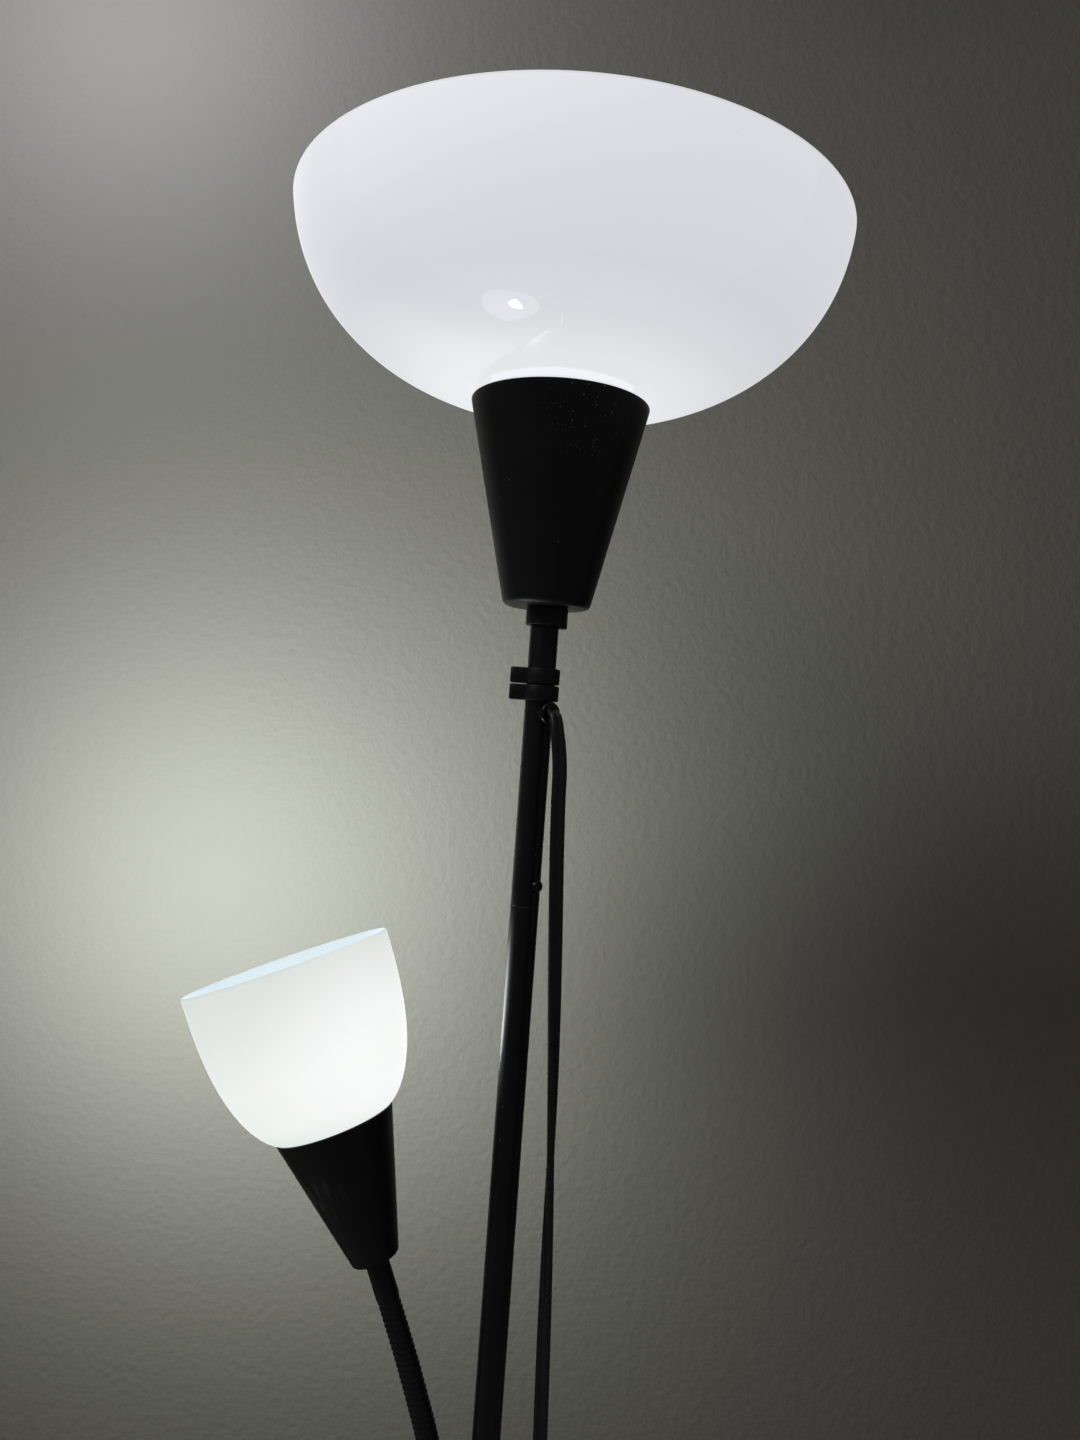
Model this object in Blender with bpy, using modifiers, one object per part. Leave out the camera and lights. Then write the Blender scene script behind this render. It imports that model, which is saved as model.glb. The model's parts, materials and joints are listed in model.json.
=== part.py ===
"""Two-light torchiere floor lamp: an upward bowl on a tall pole, and a small reading light on a gooseneck.

Metres, +Z up. The origin is the centre of the base pad's underside, on the floor. +X is to the right of
someone facing the lamp, and +Y points away from them. The reading light is on the -X side.
"""
import math

import bmesh
import bpy
from mathutils import Matrix, Vector

MM = 0.001
GAP = 0.3  # clearance between pieces that touch, mm

# Driving dimensions, mm -----------------------------------------------------------------------------------
RIM_Z = 1800.0  # top of the bowl, the lamp's full height

POLE_R, POLE_WALL = 7.5, 1.0
GROMMET_TURN, BUTTON_TURN = math.radians(36), math.radians(49)  # their directions, from -Y towards +X

BASE_R, BASE_EDGE_Z, BASE_TOP_Z, BASE_SHEET = 140.0, 8.0, 28.0, 1.2
BASE_DOME_RISE, BASE_DOME_POWER = 18.0, 2.2  # the cover falls from its boss to its edge as 1 - (r/R)^power
BASE_BOSS_R, PAD_R, PAD_THICK = 13.0, 132.0, 2.0
WEIGHT_R, WEIGHT_TOP_R, WEIGHT_EDGE_Z, WEIGHT_BORE = 128.0, 40.0, 9.2, 6.0
NUT_WELL_R, NUT_WELL_Z = 17.0, 12.0  # recess under the weight that holds the washer and the nut
STUD_R, STUD_CLEAR = 5.0, 5.4
FOOT_BUSH_TOP_Z = 52.0

SEAMS_Z = (548.0, 1446.0)  # where two pole tubes meet on an inner sleeve
BUTTON_RISE = 11.3  # height of a snap button over its seam
BUTTON_R, BUTTON_DOME_R, BUTTON_PROUD, BUTTON_FIT = 3.25, 3.6, 2.8, 0.35
SLEEVE_INNER_R, SLEEVE_DOWN, SLEEVE_UP = 5.4, 32.0, 30.0  # inner sleeve at a seam

CLAMP_Z, CLAMP_HEIGHT, CLAMP_SPLIT = 1554.1, 8.2, 0.7
CLAMP_R, EAR_OUT, EAR_IN, EAR_HALF = 9.9, -16.2, -4.0, 5.0
GROMMET_Z, GROMMET_BORE, GROMMET_NECK, GROMMET_FLANGE = 1547.9, 2.9, 3.8, 5.9
GROMMET_FACE, GROMMET_BACK, GROMMET_LIP = 11.6, 8.0, 1.6  # the flange's front and back, from the axis

CONE_BOTTOM_Z, CONE_BOTTOM_R = 1603.5, 23.1
CONE_MOUTH_Z, CONE_MOUTH_R, CONE_WALL = 1710.0, 47.2, 1.6
CONE_EDGE_R, COLLAR_R, COLLAR_X, COLLAR_HEIGHT = 3.4, 11.0, 0.8, 10.0
BOWL_R, BOWL_NECK_R, BOWL_HEIGHT, BOWL_WALL = 144.8, 43.6, 87.3, 2.0
BOWL_SHAPE = dict(p=2.242, q=1.694, core=40.0, flare=4.8, crown=140.0)

COUPLING_Z, COUPLING_HEIGHT, COUPLING_R = 1052.0, 32.0, 12.0
BOSS_X, BOSS_R, BOSS_RISE, BOSS_FLOOR, BOSS_BORE = -17.0, 8.5, 6.0, 15.0, 4.4
PLUG_HALF = 2.0  # half of the solid stretch between the coupling's two pole bores
SWITCH_R, SWITCH_OUT, SWITCH_BORE = 9.0, 20.0, 6.0
SCREW_R, SCREW_WAY_R, SCREW_INSET = 1.9, 2.2, 7.0
ARM_AZIMUTH = math.radians(168.9)  # the arm's plane, from +X towards +Y
GOOSE_R = 6.2
HEAD_OUT, HEAD_Z, HEAD_LEAN = 49.2, 1251.2, math.radians(22.84)
LINK_LENGTHS = (32.3, 42.0, 46.0, 54.2)  # root to hinge 1, hinge 1 to 2, hinge 2 to 3, hinge 3 to the head
LINK_LEANS = tuple(math.radians(a) for a in (5.5, 12.5, 20.3, 22.84))
SLEEVE_LENGTH = 21.0
BALL_R, CUP_R, NECK_R, NECK_LENGTH, CUP_LIFT = 4.6, 4.95, 3.0, 6.4, 0.5  # the links' ball and cup ends
FERRULE_HEIGHT, FERRULE_R, FERRULE_TOP_R, FERRULE_STEM_R = 13.0, 7.6, 6.6, 4.1

SMALL_CONE = dict(bottom_r=12.8, mouth_r=32.2, height=74.2, wall=1.5, edge_r=3.0)
SMALL_BOWL_R, SMALL_BOWL_HEIGHT, SMALL_BOWL_NECK_R, SMALL_BOWL_WALL = 56.8, 90.1, 28.6, 1.6
SMALL_BOWL_FLOOR = 69.3
SMALL_SHAPE = dict(p=2.62, q=1.614, core=29.0, flare=0.5, crown=56.3)

CORD_R = 2.6
COIL_AT, COIL_INNER, COIL_OUTER, COIL_HEIGHT = (100.0, 175.0), 33.0, 51.0, 16.0
COIL_EDGE = 2.0
PLUG_HALF_HEIGHT, PLUG_HALF_WIDTH, PLUG_LENGTH, PLUG_EDGE = 7.0, 10.5, 27.0, 2.2
BLADE_HEIGHT, BLADE_THICK, BLADE_LENGTH, BLADE_APART = 6.3, 1.5, 17.2, 12.7


# Scene and collections ------------------------------------------------------------------------------------
for old in list(bpy.data.objects):
    bpy.data.objects.remove(old, do_unlink=True)


def collection(name):
    made = bpy.data.collections.new(name)
    bpy.context.scene.collection.children.link(made)
    return made


LAMP = collection("torchiere_lamp")
CUTTERS = collection("cutters")


def material(name, color, roughness, metallic=0.0):
    made = bpy.data.materials.new(name)
    made.use_nodes = True
    shader = made.node_tree.nodes["Principled BSDF"]
    shader.inputs["Base Color"].default_value = (*color, 1)
    shader.inputs["Roughness"].default_value = roughness
    shader.inputs["Metallic"].default_value = metallic
    return made


PAINT = material("black_paint", (0.02, 0.02, 0.023), 0.35)
BLACK = material("black_plastic", (0.022, 0.022, 0.026), 0.45)
STEEL = material("zinc_steel", (0.6, 0.6, 0.58), 0.35, 1.0)
BRASS = material("brass", (0.75, 0.58, 0.28), 0.3, 1.0)
CEMENT = material("cement", (0.42, 0.41, 0.38), 0.9)
FELT = material("foam_pad", (0.03, 0.03, 0.03), 0.9)
OPAL = material("opal_plastic", (0.85, 0.85, 0.87), 0.25)
BULB = material("bulb_white", (0.9, 0.9, 0.88), 0.4)
PVC = material("cord_pvc", (0.015, 0.015, 0.017), 0.4)


# Building tools -------------------------------------------------------------------------------------------
def new_object(name, data, mat=None, group=LAMP):
    made = bpy.data.objects.new(name, data)
    group.objects.link(made)
    if mat:
        data.materials.append(mat)
    return made


def frame_at(name, at, z_axis=(0, 0, 1), x_hint=(1, 0, 0)):
    """An empty at a point (mm) whose +Z is z_axis; pieces on it are built in its own frame."""
    z = Vector(z_axis).normalized()
    y = z.cross(Vector(x_hint)).normalized()
    x = y.cross(z)
    empty = new_object(name, None)
    empty.matrix_world = Matrix.Translation(Vector(at) * MM) @ Matrix((x, y, z)).transposed().to_4x4()
    return empty


def put(piece, frame):
    if frame:
        piece.parent = frame
    return piece


def smooth(mesh, degrees=35):
    mesh.shade_smooth()
    mesh.set_sharp_from_angle(angle=math.radians(degrees))


def turned(name, profile, mat, steps=16, frame=None, closed=True, shell=0.0, group=LAMP):
    """A turned piece from (radius, height) points in mm that run down its outer side.

    closed joins the last point to the first, for a ring. A profile that starts and ends on the axis is a
    solid. shell gives an open profile a wall, which grows inward.
    """
    mesh = bpy.data.meshes.new(name)
    points = [(r * MM, 0, z * MM) for r, z in profile]
    edges = [(i, i + 1) for i in range(len(points) - 1)]
    if closed:
        edges.append((len(points) - 1, 0))
    mesh.from_pydata(points, edges, [])
    made = new_object(name, mesh, mat, group)
    screw = made.modifiers.new("turn", "SCREW")
    screw.steps = screw.render_steps = steps
    screw.use_merge_vertices = True
    screw.merge_threshold = 0.00001
    screw.use_smooth_shade = False
    if shell:
        wall = made.modifiers.new("wall", "SOLIDIFY")
        wall.thickness = shell * MM
        wall.offset = -1
        wall.use_even_offset = True
    return put(made, frame)


def ring(name, outer, inner, low, high, mat, steps=16, frame=None, chamfer=0.0, group=LAMP):
    """A plain tube or washer, its outer edges cut back by chamfer."""
    profile = [(inner, high), (outer - chamfer, high), (outer, high - chamfer)] if chamfer else [
        (inner, high), (outer, high)]
    profile += [(outer, low + chamfer), (outer - chamfer, low)] if chamfer else [(outer, low)]
    return turned(name, profile + [(inner, low)], mat, steps, frame, group=group)


def solid(name, profile, mat, steps=16, frame=None, group=LAMP):
    """A turned solid whose profile starts and ends on the axis."""
    return turned(name, profile, mat, steps, frame, closed=False, group=group)


def arc(center, radius, start, end, count):
    """Points on a circle in the (radius, height) plane; angles in degrees from the +height axis."""
    turn = [math.radians(start + (end - start) * i / count) for i in range(count + 1)]
    return [(center[0] + radius * math.sin(a), center[1] + radius * math.cos(a)) for a in turn]


def rod(name, radius, low, high, frame=None, mat=None, group=CUTTERS, vertices=16):
    """A cylinder primitive along its frame's Z; a cutter unless it is given a material."""
    mesh = bpy.data.meshes.new(name)
    shape = bmesh.new()
    bmesh.ops.create_cone(shape, cap_ends=True, segments=vertices, radius1=radius * MM, radius2=radius * MM,
                          depth=(high - low) * MM,
                          matrix=Matrix.Translation((0, 0, (high + low) / 2 * MM)))
    shape.to_mesh(mesh)
    shape.free()
    made = new_object(name, mesh, mat, group)
    if group is CUTTERS:
        made.hide_render = True
        made.display_type = "WIRE"
    return put(made, frame)


def block(name, low, high, mat=None, frame=None, group=CUTTERS, bevel=0.0, segments=2):
    """A box primitive between two corners (mm), with rounded edges when bevel is given."""
    mesh = bpy.data.meshes.new(name)
    shape = bmesh.new()
    size = [(b - a) * MM for a, b in zip(low, high)]
    middle = [(a + b) / 2 * MM for a, b in zip(low, high)]
    bmesh.ops.create_cube(shape, size=1, matrix=Matrix.Translation(middle) @ Matrix.Diagonal((*size, 1)))
    shape.to_mesh(mesh)
    shape.free()
    made = new_object(name, mesh, mat, group)
    if bevel:
        edge = made.modifiers.new("edge", "BEVEL")
        edge.width = bevel * MM
        edge.segments = segments
    if group is CUTTERS:
        made.hide_render = True
        made.display_type = "WIRE"
    return put(made, frame)


def boolean(target, tool, operation):
    cut = target.modifiers.new(tool.name, "BOOLEAN")
    cut.operation = operation
    cut.object = tool
    return target


def wire(name, points, radius, mat, resolution=2, frame=None):
    """A bent wire or cord through points in mm, with filled ends."""
    curve = bpy.data.curves.new(name, "CURVE")
    curve.dimensions = "3D"
    curve.bevel_depth = radius * MM
    curve.bevel_resolution = resolution
    curve.use_fill_caps = True
    line = curve.splines.new("POLY")
    line.points.add(len(points) - 1)
    for point, at in zip(line.points, points):
        point.co = (*(Vector(at) * MM), 1)
    return put(new_object(name, curve, mat), frame)


def through(points, spacing):
    """A smooth curve through the points (centripetal Catmull-Rom), about spacing apart."""
    points = [Vector(p) for p in points]
    ends = [2 * points[0] - points[1], *points, 2 * points[-1] - points[-2]]
    line = []
    for a, b, c, d in zip(ends, ends[1:], ends[2:], ends[3:]):
        knots = [0.0]
        for p, q in ((a, b), (b, c), (c, d)):
            knots.append(knots[-1] + math.sqrt((q - p).length))
        t0, t1, t2, t3 = knots
        count = max(1, round((c - b).length / spacing))
        for i in range(count):
            t = t1 + (t2 - t1) * i / count
            ab = a.lerp(b, (t - t0) / (t1 - t0))
            bc = b.lerp(c, (t - t1) / (t2 - t1))
            cd = c.lerp(d, (t - t2) / (t3 - t2))
            line.append(ab.lerp(bc, (t - t0) / (t2 - t0)).lerp(bc.lerp(cd, (t - t1) / (t3 - t1)),
                                                               (t - t1) / (t2 - t1)))
    return line + [points[-1]]


def bowl_side(rim_r, height, shape, stop_r, count):
    """The bowl's outer side as (radius, depth under the rim): full at the shoulder, drawn in below."""
    side = []
    for i in range(count + 1):
        t = math.sin(math.pi / 2 * i / count)
        swell = (1 - t ** shape["p"]) ** (1 / shape["q"]) if t < 1 else 0.0
        r = shape["core"] + (shape["crown"] - shape["core"]) * swell + (rim_r - shape["crown"]) * (1 - t) ** 2
        if r <= stop_r:
            break
        side.append((r, t * height))
    return side


# Weighted base --------------------------------------------------------------------------------------------
def build_base():
    rod("base_pad", PAD_R, 0, PAD_THICK, mat=FELT, group=LAMP, vertices=40)
    weight_low = PAD_THICK + GAP
    weight_top = BASE_TOP_Z - 8.0
    block_side = [(WEIGHT_BORE, weight_top), (WEIGHT_TOP_R, weight_top), (WEIGHT_R, WEIGHT_EDGE_Z),
                  (WEIGHT_R, weight_low)]
    well = [(NUT_WELL_R, weight_low), (NUT_WELL_R, NUT_WELL_Z), (WEIGHT_BORE, NUT_WELL_Z)]
    turned("base_weight", [*block_side, *well], CEMENT, steps=28)
    dome = [(r, BASE_EDGE_Z + BASE_DOME_RISE * (1 - (r / BASE_R) ** BASE_DOME_POWER))
            for r in (16, 62, 100, 128)]
    edge = [(BASE_R - 1.5, BASE_EDGE_Z - 0.6), (BASE_R, BASE_EDGE_Z - 2.5), (BASE_R, 0.8)]
    turned("base_cover", [(STUD_CLEAR, BASE_TOP_Z), (BASE_BOSS_R, BASE_TOP_Z), *dome, *edge], PAINT, steps=32,
           closed=False, shell=BASE_SHEET)
    washer_top = NUT_WELL_Z - GAP
    washer_low = washer_top - 1.5
    ring("base_washer", 10.0, STUD_CLEAR, washer_low, washer_top, STEEL)
    hexagon("base_nut", 17.0, STUD_CLEAR, washer_low - GAP - 5.5, washer_low - GAP, STEEL)
    rod("base_stud", STUD_R, 3.6, FOOT_BUSH_TOP_Z + 4.0, mat=STEEL, group=LAMP)
    ring("pole_foot_bush", POLE_R - POLE_WALL - GAP, STUD_R + GAP, BASE_TOP_Z + GAP, FOOT_BUSH_TOP_Z, BLACK)


def hexagon(name, across, bore, low, high, mat, frame=None):
    """A hexagon nut with its bore."""
    nut = rod(name, across / math.sqrt(3), low, high, frame, mat, LAMP, vertices=6)
    return boolean(nut, rod(name + "_bore", bore, low - 1, high + 1, frame), "DIFFERENCE")


# Pole -----------------------------------------------------------------------------------------------------
def side_frame(name, z, turn):
    """A frame on the pole's axis whose +Z points out through the front right of the pole."""
    return frame_at(name, (0, 0, z), (math.sin(turn), -math.cos(turn), 0), (0, 0, 1))


def build_pole():
    coupling_middle = COUPLING_Z + COUPLING_HEIGHT / 2
    ends = [(BASE_TOP_Z + GAP, SEAMS_Z[0]), (SEAMS_Z[0] + GAP, coupling_middle - PLUG_HALF - GAP),
            (coupling_middle + PLUG_HALF + GAP, SEAMS_Z[1]),
            (SEAMS_Z[1] + GAP, CONE_BOTTOM_Z - COLLAR_HEIGHT)]
    tubes = [ring(f"pole_tube_{i + 1}", POLE_R, POLE_R - POLE_WALL, low, high, PAINT)
             for i, (low, high) in enumerate(ends)]
    for number, seam in enumerate(SEAMS_Z, 1):
        button_z = seam + BUTTON_RISE
        side = side_frame(f"snap_button_{number}_axis", button_z, BUTTON_TURN)
        sleeve = ring(f"pole_sleeve_{number}", POLE_R - POLE_WALL - GAP, SLEEVE_INNER_R, seam - SLEEVE_DOWN,
                      seam + SLEEVE_UP, STEEL)
        hole = rod(f"snap_hole_{number}", BUTTON_R + BUTTON_FIT, 2.0, 12.0, side, vertices=20)
        for target in (sleeve, tubes[2 * number - 1]):
            boolean(target, hole, "DIFFERENCE")
        dome = arc((0, POLE_R + BUTTON_PROUD - BUTTON_DOME_R), BUTTON_DOME_R, 0, 64, 4)
        solid(f"snap_button_{number}", [*dome, (BUTTON_R, 3.0), (0, 3.0)], PAINT, 18, side)
        leaf = [(0, 0, 2.2), (-4, 0, 1.4), (-11, 0, -1.6), (-17, 0, -3.6), (-20, 0, -4.6), (-17, 0, -4.8),
                (-6, 0, -4.8)]
        wire(f"snap_spring_{number}", leaf, 0.45, STEEL, 2, side)
    grommet = side_frame("grommet_axis", GROMMET_Z, GROMMET_TURN)
    hole = rod("grommet_hole", GROMMET_NECK + GAP, 4.0, 12.0, grommet, vertices=20)
    boolean(tubes[-1], hole, "DIFFERENCE")
    lip = arc((GROMMET_FLANGE - GROMMET_LIP, GROMMET_FACE - GROMMET_LIP), GROMMET_LIP, 0, 90, 3)
    turned("cord_grommet", [(GROMMET_BORE, GROMMET_FACE), *lip, (GROMMET_FLANGE, GROMMET_BACK),
                            (GROMMET_NECK, GROMMET_BACK), (GROMMET_NECK, 5.7), (GROMMET_BORE, 5.7)],
           BLACK, 20, grommet)


def build_clamps():
    """Two thin clamp rings stacked on the pole, each with an ear to the left."""
    for number in range(2):
        low = CLAMP_Z + number * (CLAMP_HEIGHT + CLAMP_SPLIT)
        high = low + CLAMP_HEIGHT
        name = ("clamp_ring_lower", "clamp_ring_upper")[number]
        clamp = rod(name, CLAMP_R, low, high, mat=BLACK, group=LAMP, vertices=32)
        ear = block(name + "_ear", (EAR_OUT, -EAR_HALF, low), (EAR_IN, EAR_HALF, high))
        boolean(clamp, ear, "UNION")
        boolean(clamp, rod(name + "_bore", POLE_R + GAP, low - 1, high + 1, vertices=28), "DIFFERENCE")


# Arm coupling with its switch -----------------------------------------------------------------------------
def build_coupling():
    """A sleeve over the pole joint, with a boss at its left for the arm and a switch at its front."""
    low, high = COUPLING_Z, COUPLING_Z + COUPLING_HEIGHT
    middle = (low + high) / 2
    body = rod("arm_coupling", COUPLING_R, low, high, mat=BLACK, group=LAMP, vertices=32)
    boss = frame_at("arm_swing_axis", (BOSS_X, 0, 0))
    front = frame_at("switch_axis", (0, 0, middle), (0, -1, 0), (0, 0, 1))
    screws = [frame_at(f"set_screw_{n}_axis", (0, 0, z), (0, 1, 0), (0, 0, 1))
              for n, z in enumerate((low + SCREW_INSET, high - SCREW_INSET), 1)]
    boolean(body, block("boss_web", (BOSS_X, -6.5, low + BOSS_RISE), (0, 6.5, high)), "UNION")
    boolean(body, rod("boss_post", BOSS_R, low + BOSS_RISE, high, boss, vertices=24), "UNION")
    boolean(body, rod("switch_post", SWITCH_R, 5.0, SWITCH_OUT, front, vertices=24), "UNION")
    boolean(body, rod("bore_low", POLE_R + GAP, low - 1, middle - PLUG_HALF), "DIFFERENCE")
    boolean(body, rod("bore_high", POLE_R + GAP, middle + PLUG_HALF, high + 1), "DIFFERENCE")
    boolean(body, rod("wire_way", 5.0, middle - 4, middle + 4), "DIFFERENCE")
    boolean(body, rod("boss_bore", BOSS_BORE, low + BOSS_FLOOR, high + 1, boss), "DIFFERENCE")
    boolean(body, rod("switch_bore", SWITCH_BORE, 9.2, SWITCH_OUT + 1, front), "DIFFERENCE")
    boolean(body, rod("switch_way", 2.0, 2.0, 12.0, front, vertices=12), "DIFFERENCE")
    for number, side in enumerate(screws, 1):
        boolean(body, rod(f"set_screw_way_{number}", SCREW_WAY_R, 5.0, 14.0, side, vertices=16), "DIFFERENCE")
        screw = rod(f"coupling_screw_{number}", SCREW_R, POLE_R + 0.4, 12.4, side, BLACK, LAMP, vertices=16)
        boolean(screw, rod(f"hex_key_{number}", SCREW_R / 2, 10.6, 13.0, side, vertices=6), "DIFFERENCE")
    can_r = SWITCH_BORE - GAP
    can = [(0, 13.5), (2.8, 13.5), (2.8, 19.7), (can_r, 19.7), (can_r, 9.5), (0, 9.5)]
    turned("switch_body", can, BLACK, 24, front, closed=False)
    face = SWITCH_OUT + 11.0
    knob = [(0, face), (6.9, face), (7.6, face - 0.7), (8.4, 21.6), (8.2, 20.6), (2.4, 20.6), (2.4, 14.2),
            (0, 14.2)]
    solid("switch_knob", knob, BLACK, 24, front)


# Gooseneck and reading light ------------------------------------------------------------------------------
def out_point(out, z):
    return Vector((BOSS_X + out * math.cos(ARM_AZIMUTH), out * math.sin(ARM_AZIMUTH), z))


def lean_axis(lean):
    return Vector((math.sin(lean) * math.cos(ARM_AZIMUTH), math.sin(lean) * math.sin(ARM_AZIMUTH),
                   math.cos(lean)))


def arm_frames():
    """Frames at the arm's root and its three hinges, found by stepping back from the reading light."""
    at = out_point(HEAD_OUT, HEAD_Z)
    frames = [frame_at("reading_light_axis", at, lean_axis(HEAD_LEAN))]
    for index in (3, 2, 1, 0):
        at = at - lean_axis(LINK_LEANS[index]) * LINK_LENGTHS[index]
        frames.insert(0, frame_at(f"arm_frame_{index}", at, lean_axis(LINK_LEANS[index])))
    return frames


def ball_end(length):
    stop = 180 - math.degrees(math.asin(NECK_R / BALL_R))
    shoulder = length - NECK_LENGTH
    return [*arc((0, length), BALL_R, 0, stop, 5), (NECK_R, shoulder), (GOOSE_R, shoulder)]


def cup_end():
    start = math.degrees(math.acos(CUP_LIFT / CUP_R))
    return [(GOOSE_R, CUP_LIFT), *arc((0, 0), CUP_R, start, 0, 3)]


def build_gooseneck(frames):
    boss = bpy.data.objects["arm_swing_axis"]
    foot = COUPLING_Z + COUPLING_HEIGHT + GAP
    top = foot + FERRULE_HEIGHT
    stem = COUPLING_Z + BOSS_FLOOR + 0.6
    side = [(0, top), (FERRULE_TOP_R, top), (FERRULE_TOP_R + 0.8, top - 0.8), (FERRULE_R, foot + 0.4),
            (FERRULE_R, foot), (FERRULE_STEM_R, foot), (FERRULE_STEM_R, stem), (0, stem)]
    solid("arm_ferrule", side, BLACK, 24, boss)
    start = FERRULE_HEIGHT + 0.6
    solid("gooseneck_1", [*ball_end(LINK_LENGTHS[0]), (GOOSE_R, start), (0, start)], PAINT, 16, frames[0])
    solid("gooseneck_2", [*ball_end(LINK_LENGTHS[1]), *cup_end()], PAINT, 16, frames[1])
    solid("gooseneck_3", [*ball_end(LINK_LENGTHS[2]), *cup_end()], PAINT, 16, frames[2])
    neck_top = LINK_LENGTHS[3] - SLEEVE_LENGTH - GAP
    solid("gooseneck_4", [(0, neck_top), (GOOSE_R, neck_top), *cup_end()], PAINT, 16, frames[3])


def build_reading_light(head):
    cone = SMALL_CONE
    mouth = cone["height"]
    rim = mouth + SMALL_BOWL_HEIGHT
    slope = math.degrees(math.atan2(cone["mouth_r"] - cone["bottom_r"], mouth))
    ring("reading_sleeve", 6.3, 4.3, -SLEEVE_LENGTH, -GAP, PAINT, 24, head, chamfer=0.6)
    ring("reading_nipple", 4.0, 2.6, -18.0, 40.0, STEEL, 20, head)
    hexagon("reading_nut", 13.0, 4.3, 2.8, 6.4, STEEL, head)
    bend = arc((cone["bottom_r"] - 2.6, cone["edge_r"]), cone["edge_r"], 90 + slope, 180, 2)
    turned("reading_cone", [(cone["mouth_r"], mouth), *bend, (4.3, 0)], BLACK, 24, head, closed=False,
           shell=cone["wall"])
    socket = [(11.0, 70.5), (12.0, 70.5), (12.0, 69.0), (17.0, 69.0), (17.0, 67.2), (12.0, 66.0),
              (12.0, 42.0), (8.0, 32.0), (8.0, 29.0), (4.3, 29.0), (4.3, 43.0), (8.2, 46.0), (8.2, 70.5)]
    turned("reading_socket", socket, BLACK, 16, head)
    ring("reading_socket_shell", 7.9, 7.1, 47.0, 70.0, BRASS, 24, head)
    ring("reading_bulb_cap", 6.8, 5.6, 49.0, 72.0, STEEL, 16, head)
    turned("reading_bulb", [*arc((0, 106), 21.0, 0, 128, 5), (9.5, 82), (8.6, 72.3)], BULB, 14, head,
           closed=False, shell=1.5)
    ring("reading_shade_ring", 16.5, 12.4, 72.3, 75.6, BLACK, 24, head, chamfer=0.6)
    side = [(r, rim - depth) for r, depth in
            bowl_side(SMALL_BOWL_R, SMALL_BOWL_HEIGHT, SMALL_SHAPE, cone["mouth_r"] - 0.6, 7)]
    neck = [(SMALL_BOWL_NECK_R, mouth + 1.6), (SMALL_BOWL_NECK_R, SMALL_BOWL_FLOOR), (12.4, SMALL_BOWL_FLOOR)]
    turned("reading_shade", [*side, *neck], OPAL, 24, head, closed=False, shell=SMALL_BOWL_WALL)


# Uplighter ------------------------------------------------------------------------------------------------
def build_uplighter():
    pole_top = CONE_BOTTOM_Z - COLLAR_HEIGHT
    ring("pole_top_bush", POLE_R - POLE_WALL - GAP, 5.3, pole_top - 22, pole_top - 0.5, BLACK)
    ring("cone_collar", COLLAR_R, 6.2, pole_top + GAP, CONE_BOTTOM_Z - GAP, BLACK, 28,
         frame_at("cone_collar_axis", (COLLAR_X, 0, 0)), chamfer=0.7)
    ring("uplight_nipple", 5.0, 3.5, pole_top - 18, CONE_MOUTH_Z - 47.0, STEEL)
    hexagon("uplight_nut", 16.0, 5.4, CONE_BOTTOM_Z + 1.9, CONE_BOTTOM_Z + 6.5, STEEL)
    slope = math.degrees(math.atan2(CONE_MOUTH_R - CONE_BOTTOM_R, CONE_MOUTH_Z - CONE_BOTTOM_Z))
    bend = arc((CONE_BOTTOM_R - 3.0, CONE_BOTTOM_Z + CONE_EDGE_R), CONE_EDGE_R, 90 + slope, 180, 2)
    turned("uplight_cone", [(CONE_MOUTH_R, CONE_MOUTH_Z), *bend, (5.4, CONE_BOTTOM_Z)], BLACK, 32,
           closed=False, shell=CONE_WALL)
    floor = CONE_MOUTH_Z - 5.0
    socket = [(16.0, 8.0), (17.4, 8.0), (17.4, -GAP), (24.0, -GAP), (24.0, -2.6), (17.4, -4.0), (17.4, -38.0),
              (9.0, -48.0), (9.0, -54.0), (5.3, -54.0), (5.3, -36.0), (14.9, -33.0), (14.9, 8.0)]
    turned("uplight_socket", [(r, floor + rise) for r, rise in socket], BLACK, 20)
    ring("uplight_socket_shell", 14.5, 13.7, floor - 31.0, floor + 7.0, BRASS, 24)
    ring("uplight_bulb_cap", 13.2, 12.0, floor - 28.0, floor + 9.0, STEEL)
    glass = [*arc((0, floor + 47.0), 30.0, 0, 125, 5), (17.0, floor + 19.0), (14.6, floor + 9.3)]
    turned("uplight_bulb", glass, BULB, 16, closed=False, shell=1.5)
    ring("uplight_shade_ring", 24.0, 17.8, floor + 2.4, floor + 6.6, BLACK, 24, chamfer=0.7)
    side = [(r, RIM_Z - depth)
            for r, depth in bowl_side(BOWL_R, BOWL_HEIGHT, BOWL_SHAPE, CONE_MOUTH_R - 0.4, 8)]
    turned("uplight_shade", [*side, (BOWL_NECK_R, CONE_MOUTH_Z + 2.2), (BOWL_NECK_R, floor), (17.8, floor)],
           OPAL, 32, closed=False, shell=BOWL_WALL)


# Wiring and cord ------------------------------------------------------------------------------------------
def build_leads():
    right, front = math.cos(BUTTON_TURN), math.sin(BUTTON_TURN)
    beside = (3.7 * right - 1.5 * front, 3.7 * front + 1.5 * right)  # clear of the snap buttons' way
    wire("uplight_lead", [(0.6, -0.7, GROMMET_Z + 6), (0, 0, GROMMET_Z + 16), (0, 0, CONE_MOUTH_Z - 44)],
         1.4, PVC)
    wire("arm_lead", [(0.9, 1.5, GROMMET_Z - 6), (*beside, GROMMET_Z - 30), (*beside, SEAMS_Z[1] + 40),
                      (*beside, SEAMS_Z[1] - 40), (*beside, COUPLING_Z + 40),
                      (0.8, 1.4, COUPLING_Z + COUPLING_HEIGHT / 2 + 3)], 1.2, PVC)


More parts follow.
